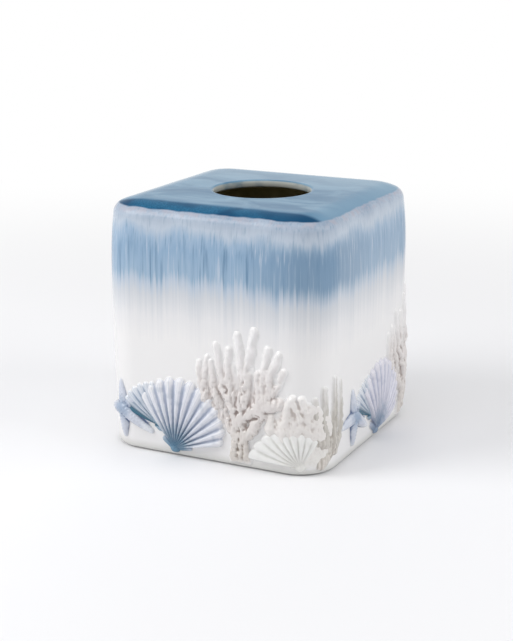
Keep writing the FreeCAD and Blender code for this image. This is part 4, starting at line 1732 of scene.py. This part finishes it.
# Pits in millimetres: place across, place up, depth and radius. Their places come the same way.
TALL_PITS = (
    (3.5, 35.0, 2.5, 1.8), (4.0, 27.0, 2.8, 2.0), (-4.5, 18.0, 1.2, 1.0), (0.5, 23.5, 1.2, 1.0),
    (0.5, 17.5, 1.0, 1.0), (14.5, 29.5, 2.4, 2.0), (-1.5, 33.5, 1.8, 1.3), (2.5, 51.0, 1.5, 1.2),
    (3.5, 47.0, 1.5, 1.2), (7.0, 60.0, 1.5, 1.5), (-1.5, 58.5, 1.2, 1.2), (-7.0, 46.5, 1.6, 1.5),
    (-7.0, 33.0, 1.6, 1.2), (2.5, 15.0, 1.2, 1.2), (-10.5, 37.5, 1.6, 2.2), (12.0, 33.0, 1.6, 1.2),
    (-1.0, 12.5, 1.0, 1.0), (23.0, 54.0, 1.8, 1.6), (22.5, 58.5, 1.4, 1.0),
)
LOW_PITS = (
    (-3.5, 37.0, 2.2, 1.6), (1.0, 38.0, 2.2, 1.5), (-6.0, 32.0, 2.0, 2.4), (7.5, 34.5, 1.2, 1.4),
    (-13.0, 33.0, 2.2, 1.6), (6.5, 21.0, 1.6, 1.4), (9.5, 18.5, 1.6, 1.5), (13.0, 17.5, 1.6, 1.4),
)
TUBE_PITS = (
    (5.0, 25.0, 2.0, 1.2), (-8.0, 30.0, 1.2, 1.2), (-1.0, 40.0, 1.4, 1.0), (6.5, 36.0, 1.4, 1.0),
)


def relief() -> list[Sprig]:
    """List the ornaments of one group, from left to right.

    Returns:
        The ornaments.
    """
    return [
        Starfish("starfish", -0.1028, Slot.BLUE, STAR_GLAZE, pitch=0.35),
        Scallop(
            "under_scallop", -0.0617, Slot.BLUE, BLUE_GLAZE, hinge=(2.0, 17.0), relief=2.3, ribs=7,
            lengths=(29.5, 29.0, 28.0), facing=math.radians(130), half_spread=math.radians(29),
            edge_shade=1.0, left_ear=(-3.0, 0.0, 1.0, 1.6), right_ear=(3.0, 0.0, 1.0, 1.6),
        ),
        Scallop("scallop", -0.0355, Slot.SCALLOP, SCALLOP_GLAZE, hinge=(-2.6, 5.4), pitch=0.35),
        Coral(
            "tall_coral", 0.0393, Slot.CORAL, CORAL_GLAZE, branches=TALL_BRANCHES, pits=TALL_PITS,
            pitch=0.33,
        ),
        Scallop(
            "white_scallop", 0.1066, Slot.WHITE, WHITE_GLAZE, hinge=(1.2, 6.0), relief=3.4, ribs=9,
            lengths=(33.0, 24.0, 19.0), facing=math.radians(116), half_spread=math.radians(57),
            groove=0.27, left_ear=(-5.0, 0.0, 0.9, 1.8), right_ear=(5.0, 0.0, 0.9, 1.8),
        ),
        Coral(
            "low_coral", 0.1085, Slot.CORAL, PALE_CORAL_GLAZE, height=58.0, branches=LOW_BRANCHES,
            pits=LOW_PITS, seed=11, crust=0.24, widen=1.7, melt_from=24.0, melt_to=66.0,
            pit_depth=0.4,
        ),
        Coral(
            "tube_coral", 0.1459, Slot.CORAL, TUBE_GLAZE, height=62.0, branches=TUBE_BRANCHES,
            pits=TUBE_PITS, seed=5, crust=0.4, widen=1.3, melt_from=8.0, melt_to=54.0, sink=0.4,
        ),
    ]


# The studio


@dataclass(frozen=True)
class SoftLight:
    """One large soft lamp, placed by its direction from the object."""

    azimuth: float
    elevation: float
    distance: float
    size: float
    power: float
    mirrored: bool = True


@dataclass
class Studio:
    """Floor, lamps, surrounding light and camera."""

    aim: Triple = (0.0, 0.0, 74.2 * MM)
    camera_azimuth: float = 26.16
    camera_elevation: float = 15.22
    camera_distance: float = 870.7 * MM
    lens: float = 80.56
    sight: float = 100.0
    photo_height: float = 641.0
    photo_offset: Span = (-5.7, -11.27)
    floor_size: float = 40.0
    floor_colour: Colour = tint(236, 236, 238)
    floor_roughness: float = 0.9
    floor_fade: Span = (0.15, 0.9)
    surround: float = 0.5
    surround_colour: Colour = (1, 1, 1, 1)
    lamps: tuple[SoftLight, ...] = (
        SoftLight(-48, 38, 1.2, 0.7, 7.0),
        SoftLight(95, 30, 1.3, 0.8, 5.0),
        SoftLight(20, 80, 1.2, 0.8, 3.0),
        SoftLight(202, 14, 1.4, 0.9, 3.0, mirrored=False),
    )

    def _stand(self, azimuth: float, elevation: float, distance: float) -> dict[str, object]:
        """Place something by its direction from the object, which it faces.

        Args:
            azimuth: Degrees from the front, towards the right.
            elevation: Degrees above the ground.
            distance: Distance from the object's middle.

        Returns:
            Its location and rotation.
        """
        a, e = math.radians(azimuth), math.radians(elevation)
        out = Vector((math.sin(a) * math.cos(e), -math.cos(a) * math.cos(e), math.sin(e)))
        spot = Vector(self.aim) + out * distance
        turn = (Vector(self.aim) - spot).to_track_quat("-Z", "Y").to_euler()
        return {"location": spot, "rotation": turn}

    def build(self) -> None:
        """Build the floor, the surrounding light, the lamps and the camera."""
        self._floor()
        self._surround()
        for lamp in self.lamps:
            stand = self._stand(lamp.azimuth, lamp.elevation, lamp.distance)
            bpy.ops.object.light_add(type="AREA", **stand)
            bpy.context.object.visible_glossy = lamp.mirrored
            light = bpy.context.object.data
            light.shape = "DISK"
            light.size = lamp.size
            light.energy = lamp.power
        stand = self._stand(self.camera_azimuth, self.camera_elevation, self.camera_distance)
        bpy.ops.object.camera_add(**stand)
        camera = bpy.context.object
        camera.data.lens = self.lens
        camera.data.shift_x = self.photo_offset[0] / self.photo_height
        camera.data.shift_y = self.photo_offset[1] / self.photo_height
        camera.data.clip_end = self.sight
        bpy.context.scene.camera = camera
        bpy.context.scene.view_settings.view_transform = "Standard"

    def _floor(self) -> None:
        """Lay the pale floor, which turns white where the camera or a reflection sees it far off."""
        deselect()
        bpy.ops.mesh.primitive_plane_add(size=self.floor_size)
        floor = bpy.context.object
        floor.name = "floor"
        graph = Surface("pale_floor")
        graph.feed(graph.shader.inputs["Base Color"], self.floor_colour)
        graph.feed(graph.shader.inputs["Roughness"], self.floor_roughness)
        length = graph.node("ShaderNodeVectorMath", {0: graph.place()}, operation="LENGTH")
        rays = graph.node("ShaderNodeLightPath", {}).outputs
        seen = graph.maths("MAXIMUM", rays["Is Camera Ray"], rays["Is Glossy Ray"])
        far = graph.times(graph.step(length.outputs["Value"], self.floor_fade), seen)
        white = graph.node("ShaderNodeEmission", {}).outputs["Emission"]
        layers = {0: far, 1: graph.shader.outputs["BSDF"], 2: white}
        mixed = graph.node("ShaderNodeMixShader", layers).outputs["Shader"]
        graph.feed(graph.tree.nodes["Material Output"].inputs["Surface"], mixed)
        floor.data.materials.append(graph.material)

    def _surround(self) -> None:
        """Light the scene evenly, with white where the camera or a reflection sees it."""
        world = bpy.data.worlds.new("soft_surround")
        bpy.context.scene.world = world
        world.use_nodes = True
        graph = NodeGraph(world.node_tree)
        background = graph.tree.nodes["Background"]
        rays = graph.node("ShaderNodeLightPath", {}).outputs
        seen = graph.maths("MAXIMUM", rays["Is Camera Ray"], rays["Is Glossy Ray"])
        seen = graph.maths("MAXIMUM", seen, rays["Is Transmission Ray"])
        graph.feed(background.inputs["Color"], self.surround_colour)
        graph.feed(background.inputs["Strength"], graph.slide(seen, (0.0, 1.0), (self.surround, 1.0)))


def main() -> None:
    """Build the cover and the studio."""
    logging.basicConfig(level=logging.INFO, format="%(message)s")
    shell = CoverShell()
    shell.dress(shell.build())
    FootPads().build()
    for sprig in relief():
        mould = sprig.model()
        for group in Group:
            sprig.lay(mould, group)
        bpy.data.objects.remove(mould)
    Studio().build()
    bpy.context.view_layer.update()


if __name__ == "__main__":
    main()
